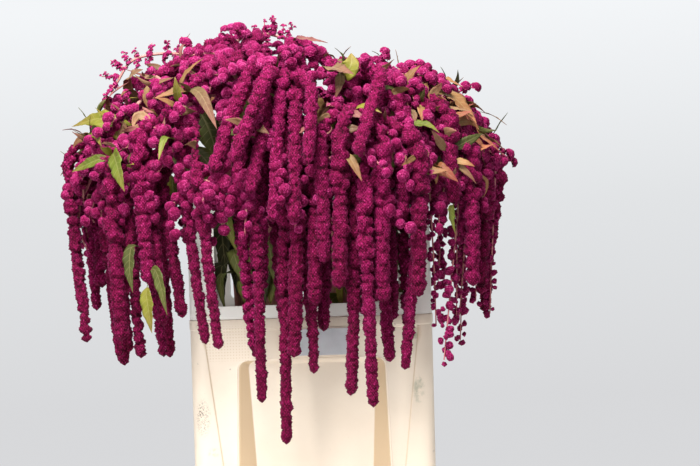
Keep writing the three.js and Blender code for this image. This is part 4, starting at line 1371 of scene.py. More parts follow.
def bucket_ring(z, grow, pressed=True):
    up = z / RIM["height"]
    half_width, half_depth = (mix(FOOT[side], RIM[side], up) / 2 + grow for side in ("width", "depth"))
    corner = RIM["corner"] + grow
    half = front_stops(z, half_width - corner)
    across = [-x for x in half[:0:-1]] + half
    inward = [max(panel_depth(GUSSET, x, z), panel_depth(RECESS, x, z)) - lip_height(x, z) for x in across]
    front = np.stack([across, np.array(inward) * pressed - half_depth], 1)
    return round_ring(front, half_width, half_depth, corner, z)


# Painted shade on the bucket's plastic at a place: darker on the recess's walls and in the gusset lines,
# where shade falls.
def painted_panel_shade(x, y, z):
    if abs(y) < RIM["depth"] / 2 - 2 * RECESS["depth"][1]:
        return 0.0
    # The gusset's step gets a thin line of painted shade.
    line = 0.8 * wall_share(GUSSET, x, z) * (panel_depth(GUSSET, x, z) < 1.0)
    return max(wall_share(RECESS, x, z), line)


def bucket_rings():
    height = RIM["height"]
    shoulder = height - RIM["bead_height"]
    foot = [bucket_ring(z, grow, False) for z, grow in ((0, -2.5), (0, -1.2), (0.6, -0.4))]
    outside = [bucket_ring(z, 0) for z in BUCKET_LEVELS]
    bead = [(shoulder - 0.6, 0), (shoulder, 0.35), (shoulder + 0.6, 0.85), (shoulder + 1.4, 1)]
    bead += [(height - 1.2, 1), (height - 0.4, 0.75), (height, 0.1)]
    bead += [(height, 0.6 - WALL), (height - 0.8, -WALL)]
    rim = [bucket_ring(z, grow * (RIM["bead"] if grow > 0 else 1), False) for z, grow in bead]
    inside = [bucket_ring(z, -WALL) for z in BUCKET_LEVELS[::-3] if z > FLOOR + 1]
    bottom = [bucket_ring(FLOOR + 1, -WALL, False), bucket_ring(FLOOR, -WALL - 1.5, False)]
    return np.array(foot + outside + rim + inside + bottom)


# Closed rings joined one after the other, with a fan at the first and the last.
def lofted(name, rings, material):
    points = np.concatenate([rings.reshape(-1, 3), rings[:1].mean(1), rings[-1:].mean(1)])
    piece = placed(name, mesh_of(name, points, tube_faces(*rings.shape[:2])), material)
    # Each point carries its painted shade: darker on the recess's walls and in the gusset lines.
    painted_shades = piece.data.attributes.new("painted_shade", "FLOAT", "POINT")
    painted_shades.data.foreach_set("value", [painted_panel_shade(*point) for point in points])
    piece.data.set_sharp_from_angle(angle=math.radians(18))
    return piece


# A box whose edges are rounded, all of them or those along one axis alone.
def rounded_box(name, size, centre, radius, material, segments=3, along=None):
    work = bmesh.new()
    bmesh.ops.create_cube(work, size=1)
    bmesh.ops.scale(work, vec=Vector(size), verts=work.verts)
    edges = [
        edge for edge in work.edges if along is None or abs((edge.verts[0].co - edge.verts[1].co)[along]) > 0
    ]
    bmesh.ops.bevel(work, geom=edges, offset=radius, segments=segments, profile=0.5, affect="EDGES")
    bmesh.ops.translate(work, vec=Vector(centre), verts=work.verts)
    return from_work(name, work, material)


# Turns a bmesh in millimetres into an object of triangles.
def from_work(name, work, material, sharp=12):
    bmesh.ops.scale(work, vec=Vector((MM, MM, MM)), verts=work.verts)
    bmesh.ops.triangulate(work, faces=work.faces)
    mesh = bpy.data.meshes.new(name)
    work.to_mesh(mesh)
    work.free()
    for face in mesh.polygons:
        face.use_smooth = True
    mesh.set_sharp_from_angle(angle=math.radians(sharp))
    return placed(name, mesh, material)


# A closed wall round the rim, with a thicker band at its top.
def collar_wall(material, band):
    bottom, top, lip = COLLAR["bottom"], COLLAR["top"], COLLAR["lip"]
    levels = [(bottom, -0.6), (bottom + 0.6, 0), (band, 0), (band + 1, lip)]
    levels += [(top - 0.8, lip), (top, lip - 0.8), (top, 0.7 - WALL), (top - 0.7, -WALL), (bottom, -WALL)]
    rings = []
    for z, grow in levels:
        wide, deep, corner = RIM["width"] / 2 + grow, RIM["depth"] / 2 + grow, RIM["corner"] + grow
        line = [mix(corner - wide, wide - corner, k / SIDE_STEPS) for k in range(SIDE_STEPS + 1)]
        rings.append(round_ring(np.array([(x, -deep) for x in line]), wide, deep, corner, z))
    rings = np.array(rings)
    count, sides = rings.shape[:2]
    ring, spot = (grid.ravel() for grid in np.meshgrid(np.arange(count), np.arange(sides), indexing="ij"))
    low, high, beside = ring * sides, (ring + 1) % count * sides, (spot + 1) % sides
    faces = np.stack([low + spot, low + beside, high + beside, high + spot], 1)
    return placed("collar_wall", mesh_of("collar_wall", rings.reshape(-1, 3), faces), material)


# The collar: its wall with a window cut through each side, and its edges rounded.
def collar_piece(material):
    band = COLLAR["top"] - COLLAR["band"]
    piece = collar_wall(material, band)
    low = COLLAR["bottom"] + COLLAR["sill"]
    for axis, (wide, deep) in ((1, (-1, 1)), (0, (1, -1))):
        post = 2 * COLLAR["post"]
        size = [RIM["width"] + post * wide, RIM["depth"] + post * deep, band - low]
        centre = (0, 0, (low + band) / 2)
        cut_away(piece, rounded_box("window", size, centre, COLLAR["fillet"], material, 4, axis))
    work = bmesh.new()
    work.from_mesh(piece.data)
    bmesh.ops.scale(work, vec=Vector((1 / MM, 1 / MM, 1 / MM)), verts=work.verts)
    bmesh.ops.dissolve_limit(work, angle_limit=0.01, verts=work.verts, edges=work.edges)
    sharp = [edge for edge in work.edges if len(edge.link_faces) == 2 and edge.calc_face_angle() > 1.2]
    bmesh.ops.bevel(
        work,
        geom=sharp,
        offset=COLLAR["rounding"],
        segments=2,
        profile=0.5,
        affect="EDGES",
        clamp_overlap=True,
    )
    bpy.data.objects.remove(piece)
    return from_work("collar_wall", work, material)


def cut_away(piece, cutter):
    modifier = piece.modifiers.new("cut", "BOOLEAN")
    modifier.object = cutter
    modifier.operation = "DIFFERENCE"
    modifier.solver = "EXACT"
    bpy.context.view_layer.update()
    shaped = piece.evaluated_get(bpy.context.evaluated_depsgraph_get())
    mesh = bpy.data.meshes.new_from_object(shaped)
    piece.modifiers.clear()
    piece.data = mesh
    bpy.data.objects.remove(cutter)


# The plate for a card stands proud of the front, with the clear pocket just before it.
def card_pieces(plastic, clear):
    front = -RIM["depth"] / 2 - PLATE["proud"]
    x, z = PLATE["x"], PLATE["bottom"] + PLATE["height"] / 2
    size = (PLATE["width"], PLATE["thickness"], PLATE["height"])
    centre = (x, front + PLATE["thickness"] / 2, z)
    plate = rounded_box("card_plate", size, centre, PLATE["rounding"], plastic)
    margin, thickness = 2 * POCKET["margin"], POCKET["thickness"]
    size = (PLATE["width"] - margin, thickness, PLATE["height"] - margin)
    centre = (x, front - POCKET["gap"] - thickness / 2, z)
    return plate, rounded_box("clear_pocket", size, centre, POCKET["rounding"], clear)


def stem_leaf(foliage, stem, order, draw):
    base, collar = stem["base"], stem["collar"]
    z = mix(STEM_LEAVES["low"], STEM_LEAVES["high"], spread(order, 15))
    place = mix(base, collar, (z - base[2]) / (collar[2] - base[2]))
    angle = math.atan2(place[1], place[0]) + mix(-1.1, 1.1, spread(order, 16))
    out = vec(math.cos(angle), math.sin(angle), 0) * STEM_LEAVES["out"]
    bend = place + out * 0.8 + vec(0, 0, 8)
    tip = place + out * 1.1 - vec(0, 0, STEM_LEAVES["fall"])
    colour = STEM_LEAVES["colours"][order % 4]
    leaf_skin(foliage, curve(place, bend, bend, tip, 7), STEM_LEAVES["half_width"], colour, draw, 14, 6)


def window_leaf(greens, lines, row, draw):
    base_x, base_z, tip_x, tip_z, y, half_width, colour = row
    base, tip = vec(base_x, y, base_z), vec(tip_x, y - 4, tip_z)
    head = int(np.argmin([float(np.min(np.linalg.norm(line - base, axis=1))) for line in lines]))
    start = lines[head][nearest(lines[head], base)]
    bend = base + vec(0, -4, 12)
    leaf_skin(greens[head], curve(start, bend, bend, tip, 9), half_width, colour, draw, 16, 6)


def collar_leaf(foliage, line, colour, draw):
    rule = COLLAR_LEAVES
    place = line[int(np.argmin(np.abs(line[:, 2] - draw.uniform(rule["low"], rule["high"]))))]
    angle = draw.uniform(0, 2 * math.pi)
    way = vec(math.cos(angle), 0.7 * math.sin(angle), draw.uniform(-0.9, 0.1))
    tip = place + way * draw.uniform(*rule["length"])
    for axis, side in enumerate(("width", "depth")):
        limit = RIM[side] / 2 - rule["clear"]
        tip[axis] = max(-limit, min(limit, tip[axis]))
    bend = (place + tip) / 2 + vec(0, 0, 12)
    half_width = draw.uniform(*rule["half_width"])
    leaf_skin(foliage, curve(place, bend, bend, tip, 7), half_width, colour, draw, 9, 4)


# The stems below the seed heads, with the leaves that are left on them.
def dress_stems(stems, leafy, draw):
    greens = [Foliage() for _ in stems]
    lines = []
    for head, stem in enumerate(stems):
        base, collar = stem["base"], stem["collar"]
        above = [arch(stem, STEM["share"] / 2), arch(stem, STEM["share"])]
        knots = np.array([base, (base + collar) / 2, collar, *above])
        lines.append(smooth_path(knots, STEM["step"]))
        stalk_skin(greens[head], lines[-1], STEM["radii"], (GREEN_STALK, PINK_STALK), 10)
        for index in range(STEM_LEAVES["count"]):
            stem_leaf(greens[head], stem, head * STEM_LEAVES["count"] + index, draw)
    # Leaves behind the window and inside the collar, many of them near black: painted shade inside the
    # collar.
    for row in WINDOW_LEAVES:
        window_leaf(greens, lines, row, draw)
    for k in range(COLLAR_LEAVES["count"]):
        head = k % len(lines)
        collar_leaf(greens[head], lines[head], COLLAR_LEAVES["colours"][k % 4], draw)
    for head, made in enumerate(greens):
        number = f"{head + 1:02d}"
        hand_over(made.make(f"stalk_{number}", leafy), f"stem_{number}")


# A graph makes nodes. What a socket is given is a value, or another node's output that is linked to it.
class Graph:
    def __init__(self, owner):
        owner.use_nodes = True
        self.tree = owner.node_tree

    def give(self, socket, value):
        if isinstance(value, bpy.types.NodeSocket):
            self.tree.links.new(value, socket)
        else:
            socket.default_value = value

    def add(self, kind, inputs=None, **settings):
        node = self.tree.nodes.new("ShaderNode" + kind)
        for key, value in settings.items():
            setattr(node, key, value)
        for key, value in (inputs or {}).items():
            self.give(node.inputs[key], value)
        return node.outputs

    def place(self):
        return self.add("TexCoord")["Object"]

    def attribute(self, name, output="Fac"):
        return self.add("Attribute", attribute_name=name)[output]

    def math(self, operation, *values):
        return self.add("Math", dict(enumerate(values)), operation=operation)[0]

    def product(self, *values):
        made = values[0]
        for value in values[1:]:
            made = self.math("MULTIPLY", made, value)
        return made

    def noise(self, place, scale, detail, roughness=0.5):
        inputs = {"Vector": place, "Scale": scale, "Detail": detail, "Roughness": roughness}
        return self.add("TexNoise", inputs)["Fac"]

    # From 0 at the first value to 1 at the second.
    def stretched(self, value, low, high, **settings):
        return self.add("MapRange", {"Value": value, "From Min": low, "From Max": high}, **settings)[0]

    def ramp(self, value, stops):
        node = self.tree.nodes.new("ShaderNodeValToRGB")
        self.give(node.inputs["Fac"], value)
        elements = node.color_ramp.elements
        while len(elements) < len(stops):
            elements.new(0.5)
        for element, (place, colour) in zip(elements, stops):
            element.position = place
            element.color = (*colour, 1)
        return node.outputs["Color"]

    def mix(self, factor, first, second, blend_type="MIX"):
        inputs = {"Factor": factor, 6: first, 7: second}
        return self.add("Mix", inputs, data_type="RGBA", blend_type=blend_type)[2]

    def bump(self, height, strength, distance):
        return self.add("Bump", {"Height": height, "Strength": strength, "Distance": distance})["Normal"]

    def surface(self, inputs):
        for key, value in inputs.items():
            self.give(self.tree.nodes["Principled BSDF"].inputs[key], value)


def new_material(name):
    material = bpy.data.materials.new(name)
    return material, Graph(material)


# Florets: painted shade, light on top and dark in the valleys and at each cell's edge, between a deep and a
# pale ramp.
def floret_material():
    material, graph = new_material("florets")
    place = graph.place()
    # Each cell is painted lighter in its middle and darker at its edge, and the grain value adds the painted
    # shade of valleys and creases.
    cells = graph.add("TexVoronoi", {"Vector": place, "Scale": 400.0, "Randomness": 1.0})["Distance"]
    top = graph.stretched(cells, 0.75, 0.1)
    level = graph.math("MULTIPLY_ADD", top, 0.35, graph.attribute("grain"))
    level = graph.math("MULTIPLY_ADD", graph.noise(place, 150.0, 3.0), 0.5, level)
    level = graph.math("SUBTRACT", level, 0.36)
    deep, pale = (graph.ramp(level, FLORET_COLOURS[name]) for name in ("deep", "pale"))
    graph.surface({
        "Base Color": graph.mix(graph.attribute("tint"), deep, pale),
        "Roughness": 0.8,
        "Specular IOR Level": 0.12,
        "Sheen Weight": 0.09,
        "Sheen Roughness": 0.35,
        "Sheen Tint": (0.95, 0.25, 0.55, 1),
        "Normal": graph.bump(top, 0.7, 0.0012),
    })
    return material


# Leaves and stalks: mottled, with pale veins on the blades alone.
def foliage_material():
    material, graph = new_material("foliage")
    side = graph.math("ABSOLUTE", graph.attribute("across"))
    slant = graph.math("MULTIPLY", side, -VEINS["slant"])
    rows = graph.math("MULTIPLY_ADD", graph.attribute("along"), VEINS["count"], slant)
    vein = graph.stretched(graph.math("PINGPONG", rows, 0.5), VEINS["vein"], 0.0)
    lines = graph.math("MAXIMUM", vein, graph.stretched(side, *VEINS["midrib"]))
    shown = graph.math("MULTIPLY", lines, graph.math("SUBTRACT", 1.0, graph.attribute("woody")))
    spots = graph.ramp(graph.noise(graph.place(), 70.0, 4.0), MOTTLING)
    mottled = graph.mix(0.7, graph.attribute("colour", "Color"), spots, "MULTIPLY")
    graph.surface({
        "Base Color": graph.mix(graph.math("MULTIPLY", shown, VEINS["strength"]), mottled, VEINS["colour"]),
        "Roughness": 0.55,
        "Specular IOR Level": 0.25,
        "Normal": graph.bump(shown, 0.4, 0.0004),
    })
    return material


# A soft round mark at a place on the object, in millimetres: 1 at its middle and 0 from its edge outward.
def mark(graph, place, centre, size, soft=0.6):
    moved = graph.add("VectorMath", {0: place, 1: [value * MM for value in centre]}, operation="SUBTRACT")[0]
    shares = graph.add("VectorMath", {0: moved, 1: [value * MM for value in size]}, operation="DIVIDE")[0]
    far = graph.add("VectorMath", {0: shares}, operation="LENGTH")["Value"]
    return graph.stretched(far, 1.0, 1.0 - soft, interpolation_type="SMOOTHSTEP")


# A grid of small round dots on a rectangle of the front.
def dot_grid(graph, place, centre, half, pitch, size):
    parts = graph.add("SeparateXYZ", {0: place})
    shown = DOT_STRENGTH
    far = []
    for axis, middle, reach in (("X", centre[0], half[0]), ("Z", centre[1], half[1])):
        moved = graph.math("SUBTRACT", parts[axis], middle * MM)
        inside = graph.math("LESS_THAN", graph.math("ABSOLUTE", moved), reach * MM)
        shown = graph.math("MULTIPLY", inside, shown)
        far.append(graph.math("PINGPONG", graph.math("MULTIPLY", moved, 1 / (pitch * MM)), 0.5))
    gap = graph.math("ADD", *(graph.math("POWER", value, 2.0) for value in far))
    dot = graph.stretched(gap, size * size, 0.25 * size * size)
    return graph.product(dot, shown, graph.math("LESS_THAN", parts["Y"], -0.1))


# Moulded plastic: clouded, with dust, marks, painted shade on the panel walls, fine scratches and a faint
# orange peel.
def plastic_material(name, light, dark, roughness, stains=(), dots=None):
    material, graph = new_material(name)
    place = graph.place()
    colour = graph.ramp(graph.noise(place, 7.0, 5.0), [(0.38, dark), (0.62, light)])
    specks = graph.noise(place, 420.0, 3.0, 0.7)
    streaks = graph.noise(place, 60.0, 4.0, 0.65)
    dust = graph.math("MULTIPLY", graph.stretched(specks, 0.66, 0.74), 0.35)
    colour = graph.mix(dust, colour, SOIL_AND_SHADE["speck"])
    # Painted shade on the recess walls and gusset lines, where the points carry it.
    colour = graph.mix(graph.math("MULTIPLY", graph.attribute("painted_shade"), 0.8), colour, SOIL_AND_SHADE["wall"])
    if dots:
        colour = graph.mix(dot_grid(graph, place, **dots), colour, SOIL_AND_SHADE["tan"])
    for centre, size, kind, strength in stains:
        rough = graph.stretched(specks if kind == "scuff" else streaks, 0.46, 0.62)
        shown = graph.product(mark(graph, place, centre, size), rough, strength)
        colour = graph.mix(shown, colour, SOIL_AND_SHADE[kind])
    worn = graph.stretched(streaks, 0.35, 0.65)
    graph.surface({
        "Base Color": colour,
        "Roughness": graph.math("MULTIPLY_ADD", worn, 0.14, roughness - 0.07),
        "Normal": graph.bump(specks, 0.12, 0.0003),
    })
    return material


def clear_material(name, colour, alpha, roughness):
    material, graph = new_material(name)
    stops = [(0.35, [value * 0.88 for value in colour]), (0.65, colour)]
    shade = graph.ramp(graph.noise(graph.place(), 40.0, 3.0), stops)
    graph.surface({"Base Color": shade, "Alpha": alpha, "Roughness": roughness})
    return material


def grow():
    stems = [ring_stem(*row) for row in RING_STEMS] + [crown_stem(*row) for row in CROWN_STEMS]
    axes = [seed_head_axis(stem, head) for head, stem in enumerate(stems)]
    strands = grow_strands(axes)
    settle(strands, lambda strand: strand["kind"] != "axis")
    leaves = [front_leaf(strands, *row) for row in FRONT_LEAVES]
    leaves += [back_leaf(strands, i) for i in range(BACK_LEAVES["count"])]
    strands += leaves
    settle(strands, lambda strand: strand["kind"] == "leaf")
    strands += [filler(axes, index) for index in range(FILLERS["count"])]
    settle(strands, lambda strand: strand["kind"] == "filler")
    return stems, strands


# A thin stalk with small separate clusters all round it.
def sparse_tassel(made, path, radius, tint, patterns, draw):
    stalk_skin(made["foliage"], path[::3], SPARSE["stalk"], (PALE_STALK, PINK_STALK), 6)
    path = resample(path, SPARSE["pitch"] * radius)
    along, across, over = path_frames(path)
    for k in range(1, len(path)):
        angle = draw.uniform(0, 2 * math.pi)
        way = across[k] * math.cos(angle) + over[k] * math.sin(angle) + along[k] * draw.uniform(-0.4, 0.4)
        centre = path[k] + way * radius * draw.uniform(*SPARSE["offset"])
        add_ball(made["florets"], patterns, centre, radius * draw.uniform(*SPARSE["size"]), tint, draw, True)


# The size of the florets on a tassel: coarser where they are seen less.
def grain_of(strand, path):
    if strand["kind"] == "filler":
        return GRAIN["filler"]
    if path[len(path) // 2, 1] >= FRONT_Y:
        return GRAIN["back"]
    return GRAIN["front"] if strand["layer"] < 2 else GRAIN["inner"]


# A tassel has a bare root, then loose knots of clusters, then the look that it is given.
def dress_tassel(heads, strand, patterns, draw):
    made = heads[strand["head"]]
    path = smooth_path(strand["points"], PATH_STEP)
    if path[-1, 0] > SHORT_SIDE["x"] and path[-1, 2] < SHORT_SIDE["z"]:
        path = path[path[:, 2] > SHORT_SIDE["z"]]
    grain = grain_of(strand, path)
    radius = strand["radius"] * TASSEL_WIDTH
    look = strand["look"]
    tint = draw.uniform(*TINTS[look])
    if look == "sparse":
        sparse_tassel(made, path, radius, tint, patterns, draw)
        return
    phase = draw.uniform(0, 6)

    def swell(t):
        return radius * (1 + 0.06 * math.sin(t * 17 + phase) + 0.05 * math.sin(t * 41 + 2 * phase))

    def stretch(points, radius_of, name, size, paleness):
        points = resample(points, size)
        tassel_skin(made["florets"], points, radius_of, TASSEL_LOOKS[name], size, paleness, draw)

    if strand.get("crown"):
        stretch(path, swell, "beaded", grain, tint)
        return
    split = int(len(path) * ROOT["share"])
    root = path[: split + 2]
    stretch(root, lambda t: radius * min(0.8, 0.5 + t), "beaded", ROOT["grain"], tint * ROOT["tint"])
    knots = split + int((len(path) - split) * KNOTS["even" if look == "even" else "other"])
    stretch(path[split : knots + 2], lambda t: KNOTS["width"] * swell(t), "beaded", grain, tint)
    stretch(path[knots:], lambda t: swell(t) * (1.05 - 0.1 * t), look, grain, tint)


# The arching stalk of a seed head, with clusters on the side that is seen.
def dress_axis(heads, strand, patterns, draw):
    path = smooth_path(strand["points"], PATH_STEP)
    made = heads[strand["head"]]
    stalk_skin(made["foliage"], path[::3], AXIS_BEADS["stalk"], (PINK_STALK, PINK_STALK))
    path = resample(path[AXIS_BEADS["bare"] :], AXIS_BEADS["pitch"])
    _, across, over = path_frames(path)
    for k, place in enumerate(path):
        normal = dome_normal(place)
        for _ in range(2):
            angle = draw.uniform(0, 2 * math.pi)
            way = across[k] * math.cos(angle) + over[k] * math.sin(angle)
            if np.dot(way, normal) < -0.2:
                way = -way
            centre = place + way * AXIS_BEADS["offset"] * draw.uniform(0.8, 1.3)
            size = draw.uniform(*AXIS_BEADS["size"])
            add_ball(made["florets"], patterns, centre, size, draw.uniform(*AXIS_BEADS["tint"]), draw)


def dress_spike(heads, strand, patterns, draw):
    made = heads[strand["head"]]
    path = smooth_path(strand["points"], 4)
    stalk_skin(made["foliage"], path[::2], SPIKE_BEADS["stalk"], (PINK_STALK, PINK_STALK), 6)
    for place in resample(path, SPIKE_BEADS["pitch"])[1:]:
        for _ in range(2):
            centre = place + draw.normal(0, SPIKE_BEADS["stray"], 3)
            size = draw.uniform(*SPIKE_BEADS["size"])
            add_ball(made["florets"], patterns, centre, size, draw.uniform(*SPIKE_BEADS["tint"]), draw)


def dress_leaf(heads, strand, patterns, draw):
    points = strand["points"]
    rise = np.linspace(0, LEAF_LIFT, len(points))[:, None]
    path = points + rise * np.array([dome_normal(place) for place in points])
    foliage = heads[strand["head"]]["foliage"]
    leaf_skin(foliage, path, strand["half_width"] * LEAF_WIDTH, strand["colour"], draw)


# The points of the strands from a place along them on, and the seed head that each belongs to.
def places_on(strands, skipped=0):
    places = [strand["points"][skipped:] for strand in strands]
    owners = [np.full(len(points), strand["head"]) for points, strand in zip(places, strands)]
    return np.concatenate(places), np.concatenate(owners)


def branch_feet(draw):
    feet = []
    for k in range(BRANCHES["count"]):
        rise = mix(BRANCHES["lowest"], BRANCHES["highest"], (k + 0.5) / BRANCHES["count"])
        feet.append((rise, math.degrees(k * math.pi * GOLDEN)))
    for count, rises, angles in MORE_BRANCHES:
        feet += [(draw.uniform(*rises), draw.uniform(*angles)) for _ in range(count)]
    return feet


# Short side branches hang all over the dome, each a thin pink stalk with round clusters to both sides.
def side_branches(heads, strands, patterns, draw):
    places, owners = places_on([strand for strand in strands if strand["kind"] != "leaf"])
    for rise, angle in branch_feet(draw):
        share = math.sqrt(1 - max(rise, 0) ** 2)
        start = dome_place(angle, share * BRANCHES["share"], DOME["level"] + DOME["rise"] * rise)
        start[2] = min(start[2], np.interp(start[0], *zip(*SKYLINE)))
        normal = dome_normal(start)
        start = start - normal * draw.uniform(*BRANCHES["sunk"])
        down = unit(vec(0, 0, -1) + normal * normal[2] + draw.normal(0, BRANCHES["stray"], 3))
        span = draw.uniform(*BRANCHES["span"])
        end = start + down * span - normal * span * span * BRANCHES["droop"]
        bend = (start + end) / 2 + normal * draw.uniform(*BRANCHES["bend"])
        near = nearest(places, start)
        made = heads[int(owners[near])]
        path = resample(curve(start, bend, bend, end, 9), draw.uniform(*BRANCHES["pitch"]))
        foot = curve(places[near], start, start, path[0], 4)
        stalk = np.concatenate([foot, path[1:]])
        stalk_skin(made["foliage"], stalk, BRANCHES["stalk"], (PALE_STALK, PINK_STALK), 6)
        tint = draw.uniform(*BRANCHES["tint"])
        side = unit(np.cross(down, normal))
        for n, place in enumerate(path):
            size = draw.uniform(*BRANCHES["ball"]) * (1 - 0.25 * n / len(path))
            way = side * (1 if n % 2 else -1) * draw.uniform(0.3, 0.8) + normal * draw.uniform(0, 0.5)
            shade = tint + draw.uniform(-0.25, 0.25) + (place[2] - DOME["level"]) * TINT_RISE
            add_ball(made["florets"], patterns, place + way * size, size, min(1, max(0, shade)), draw)


def small_leaf_feet(draw):
    feet = []
    for (left, right), (low, high), count, colours in LEAF_ZONES:
        for k in range(count):
            x, z = draw.uniform(left, right), draw.uniform(low, high)
            out = math.hypot((x - DOME["x"]) / DOME["half_width"], max(0, z - DOME["level"]) / DOME["rise"])
            if out < 0.96:
                feet.append((vec(x, dome_depth(x, z, 0.1), z), colours[k % len(colours)]))
    for k in range(BACK_ZONE["count"]):
        z = draw.uniform(BACK_ZONE["low"], BACK_ZONE["high"])
        share = math.sqrt(1 - (max(z - DOME["level"], 0) / DOME["rise"]) ** 2)
        feet.append((dome_place(draw.uniform(-20, 200), share * 0.98, z), BACK_ZONE["colours"][k % 4]))
    return feet


# Small curled leaves all over the dome, each from the nearest strand.
def small_leaves(heads, strands, draw):
    places, owners = places_on([strand for strand in strands if strand["kind"] in ("axis", "tassel")], 2)
    for foot, colour in small_leaf_feet(draw):
        near = nearest(places, foot)
        normal = dome_normal(foot)
        way = vec(draw.uniform(-1, 1), draw.uniform(-0.5, 0.5), draw.uniform(-1.1, 0.5))
        fall = unit(way + normal * 0.35)
        size = draw.uniform(*SMALL_LEAF["length"])
        bend = foot + fall * size * 0.4 + normal * draw.uniform(4, 12)
        path = curve(places[near], foot, bend, foot + fall * size, 9)
        foliage = heads[int(owners[near])]["foliage"]
        half_width = draw.uniform(*SMALL_LEAF["half_width"])
        leaf_skin(foliage, path, half_width, colour, draw, 12, 4, SMALL_LEAF["curl"])


# A bare stalk with spikes of small beads, and thin leaf tips, which stand out of the outline.
def outline_sprigs(heads, axes, patterns, draw):
    ends = np.array([axis["points"][-1] for axis in axes])
    owners = []
    for points in ARCHES:
        path = smooth_path(np.array(points, float), 5)
        owners.append(nearest(ends, path[len(path) // 2]))
        stalk_skin(heads[owners[-1]]["foliage"], path, SPRIG["arch"], (PALE_STALK, PALE_STALK))
    for arch_index, foot, length, (lean_x, lean_z) in SPIKES:
        made = heads[owners[arch_index]]
        way = unit(vec(lean_x, draw.uniform(-0.3, 0.1), lean_z))
        foot = vec(*foot)
        path = np.array([foot + way * length * t for t in np.linspace(0, 1, 5)])
        stalk_skin(made["foliage"], path, SPRIG["stalk"], (PINK_STALK, PINK_STALK), 6)
        for far in np.arange(3, length, SPRIG["pitch"]):
            for _ in range(3):
                size = draw.uniform(*SPRIG["size"]) * (1 - 0.5 * far / length)
                centre = foot + way * far + draw.normal(0, SPRIG["stray"], 3)
                add_ball(made["florets"], patterns, centre, size, draw.uniform(*SPRIG["tint"]), draw)
    for foot, tip, colour in SPINES:
        foot, tip = vec(*foot), vec(*tip)
        bend = (foot + tip) / 2 + vec(0, 0, 5)
        foliage = heads[nearest(ends, foot)]["foliage"]
        leaf_skin(foliage, curve(foot, bend, bend, tip, 6), SPRIG["spine"], colour, draw, 10, 4, 0.6)


# Leaves inside the bunch, which are seen between the clusters: each grows from the nearest axis.
def inner_leaves(heads, axes, draw):
    rule = INNER_LEAVES
    places, owners = places_on(axes, AXIS["bare_steps"])
    for k in range(rule["count"]):
        share = mix(*rule["share"], draw.random())
        highest = 0.8 * DOME["rise"] * math.sqrt(1 - share * share)
        z = DOME["level"] + mix(rule["lowest"], highest, draw.random())
        aim = dome_place(math.degrees(k * math.pi * GOLDEN), share, z)
        near = nearest(places, aim + vec(0, 0, 40))
        base = places[near]
        tip = base + unit(aim - base) * min(size_of(aim - base), draw.uniform(*rule["length"]))
        middle = (base + tip) / 2 + vec(0, 0, 14)
        half_width = draw.uniform(*rule["half_width"])
        colour = rule["colours"][k % len(rule["colours"])]
        foliage = heads[int(owners[near])]["foliage"]
        leaf_skin(foliage, curve(base, middle, middle, tip, 7), half_width, colour, draw, 10, 4)


DRESS = {
    "tassel": dress_tassel,
    "filler": dress_tassel,
    "axis": dress_axis,
    "spike": dress_spike,
    "leaf": dress_leaf,
}


def dress_heads(stems, strands, leafy):
    draw = np.random.default_rng(7)
    patterns = {count: [ball_pattern(count, draw) for _ in range(4)] for count in BALL["counts"]}
    heads = [{"florets": Gather(), "foliage": Foliage()} for _ in stems]
    for strand in strands:
        DRESS[strand["kind"]](heads, strand, patterns, draw)
    side_branches(heads, strands, patterns, draw)
    axes = [strand for strand in strands if strand["kind"] == "axis"]
    inner_leaves(heads, axes, draw)
    small_leaves(heads, strands, draw)
    outline_sprigs(heads, axes, patterns, draw)
    florets = floret_material()
    for head, made in enumerate(heads):
        number = f"{head + 1:02d}"
        hand_over(made["florets"].make(f"tassels_{number}", florets), f"seed_head_{number}")
        hand_over(made["foliage"].make(f"foliage_{number}", leafy), f"seed_head_{number}")


def dress_bucket(stems, leafy):
    cream = plastic_material("cream_plastic", *PLASTICS["cream"], STAINS, DOTS)
    white = plastic_material("collar_plastic", *PLASTICS["white"], COLLAR_STAINS)
    clear = clear_material("clear_sheet", (0.86, 0.89, 0.95), 0.5, 0.3)
    plate, pocket = card_pieces(cream, clear)
    hand_over(lofted("bucket_shell", bucket_rings(), cream), "bucket")
    hand_over(plate, "bucket")
    hand_over(pocket, "card_pocket")
    hand_over(collar_piece(white), "collar")
    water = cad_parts["water"]
    water.data.materials.clear()
    water.data.materials.append(clear_material("still_water", (0.55, 0.62, 0.58), 0.35, 0.05))
    dress_stems(stems, leafy, np.random.default_rng(11))


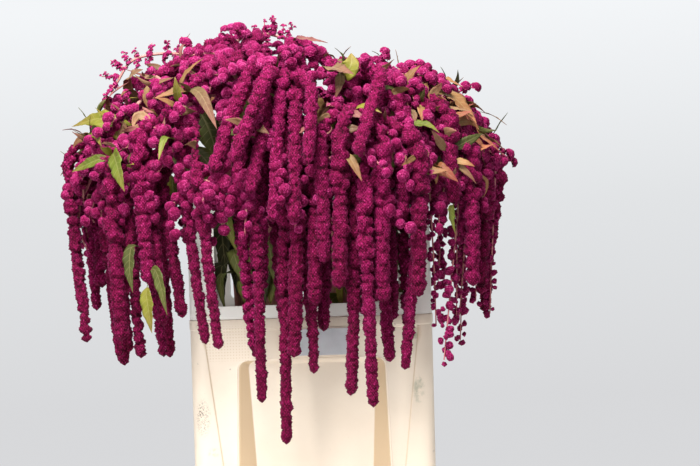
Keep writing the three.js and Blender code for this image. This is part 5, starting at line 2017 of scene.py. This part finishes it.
def add_camera():
    data = bpy.data.cameras.new("camera")
    data.lens = LENS
    data.sensor_width = SENSOR
    data.clip_start = 0.05
    data.clip_end = 50
    camera = bpy.data.objects.new("camera", data)
    bpy.context.scene.collection.objects.link(camera)
    bpy.context.scene.camera = camera
    pixel = PHOTO["millimetres"] * MM
    x = (PHOTO["middle_x"] - PHOTO["zero_x"]) * pixel
    z = (PHOTO["zero_y"] - PHOTO["middle_y"]) * pixel
    distance = PHOTO["width"] * pixel * LENS / SENSOR
    angle = math.asin(ROLL)
    right = Vector((math.cos(angle), 0, -math.sin(angle)))
    up = Vector((math.sin(angle), 0, math.cos(angle)))
    turn = Matrix((right, up, Vector((0, -1, 0)))).transposed().to_4x4()
    camera.matrix_world = Matrix.Translation((x, -RIM["depth"] / 2 * MM - distance, z)) @ turn


def area_light(name, place, target, size, watts):
    data = bpy.data.lights.new(name, "AREA")
    data.shape = "SQUARE"
    data.size = size
    data.energy = watts
    light = bpy.data.objects.new(name, data)
    bpy.context.scene.collection.objects.link(light)
    light.location = place
    light.rotation_euler = (Vector(target) - Vector(place)).to_track_quat("-Z", "Y").to_euler()


# The world lights the scene with one soft colour, and the camera sees a pale wall that is lighter higher up.
def add_world():
    world = bpy.data.worlds.new("studio")
    bpy.context.scene.world = world
    graph = Graph(world)
    nodes = world.node_tree.nodes
    soft = nodes["Background"]
    soft.inputs["Color"].default_value = (0.84, 0.85, 0.87, 1)
    soft.inputs["Strength"].default_value = 0.45
    height = graph.add("SeparateXYZ", {0: graph.add("TexCoord")["Generated"]})["Z"]
    shade = graph.ramp(graph.stretched(height, -0.12, 0.16), WALL_SHADES)
    seen = graph.add("Background", {"Color": shade, "Strength": 1.0})[0]
    from_camera = graph.add("LightPath")["Is Camera Ray"]
    either = graph.add("MixShader", {0: from_camera, 1: soft.outputs[0], 2: seen})[0]
    graph.give(nodes["World Output"].inputs["Surface"], either)


def add_floor():
    mesh = bpy.data.meshes.new("floor")
    work = bmesh.new()
    bmesh.ops.create_circle(work, cap_ends=True, segments=96, radius=FLOOR_RADIUS)
    work.to_mesh(mesh)
    work.free()
    material, graph = new_material("floor")
    graph.surface({"Base Color": (0.7, 0.7, 0.7, 1)})
    floor = placed("floor", mesh, material)


stems, strands = grow()
leafy = foliage_material()
dress_heads(stems, strands, leafy)
dress_bucket(stems, leafy)
add_camera()
for row in LIGHTS:
    area_light(*row)
add_world()
bpy.context.scene.view_settings.view_transform = "Standard"
add_floor()
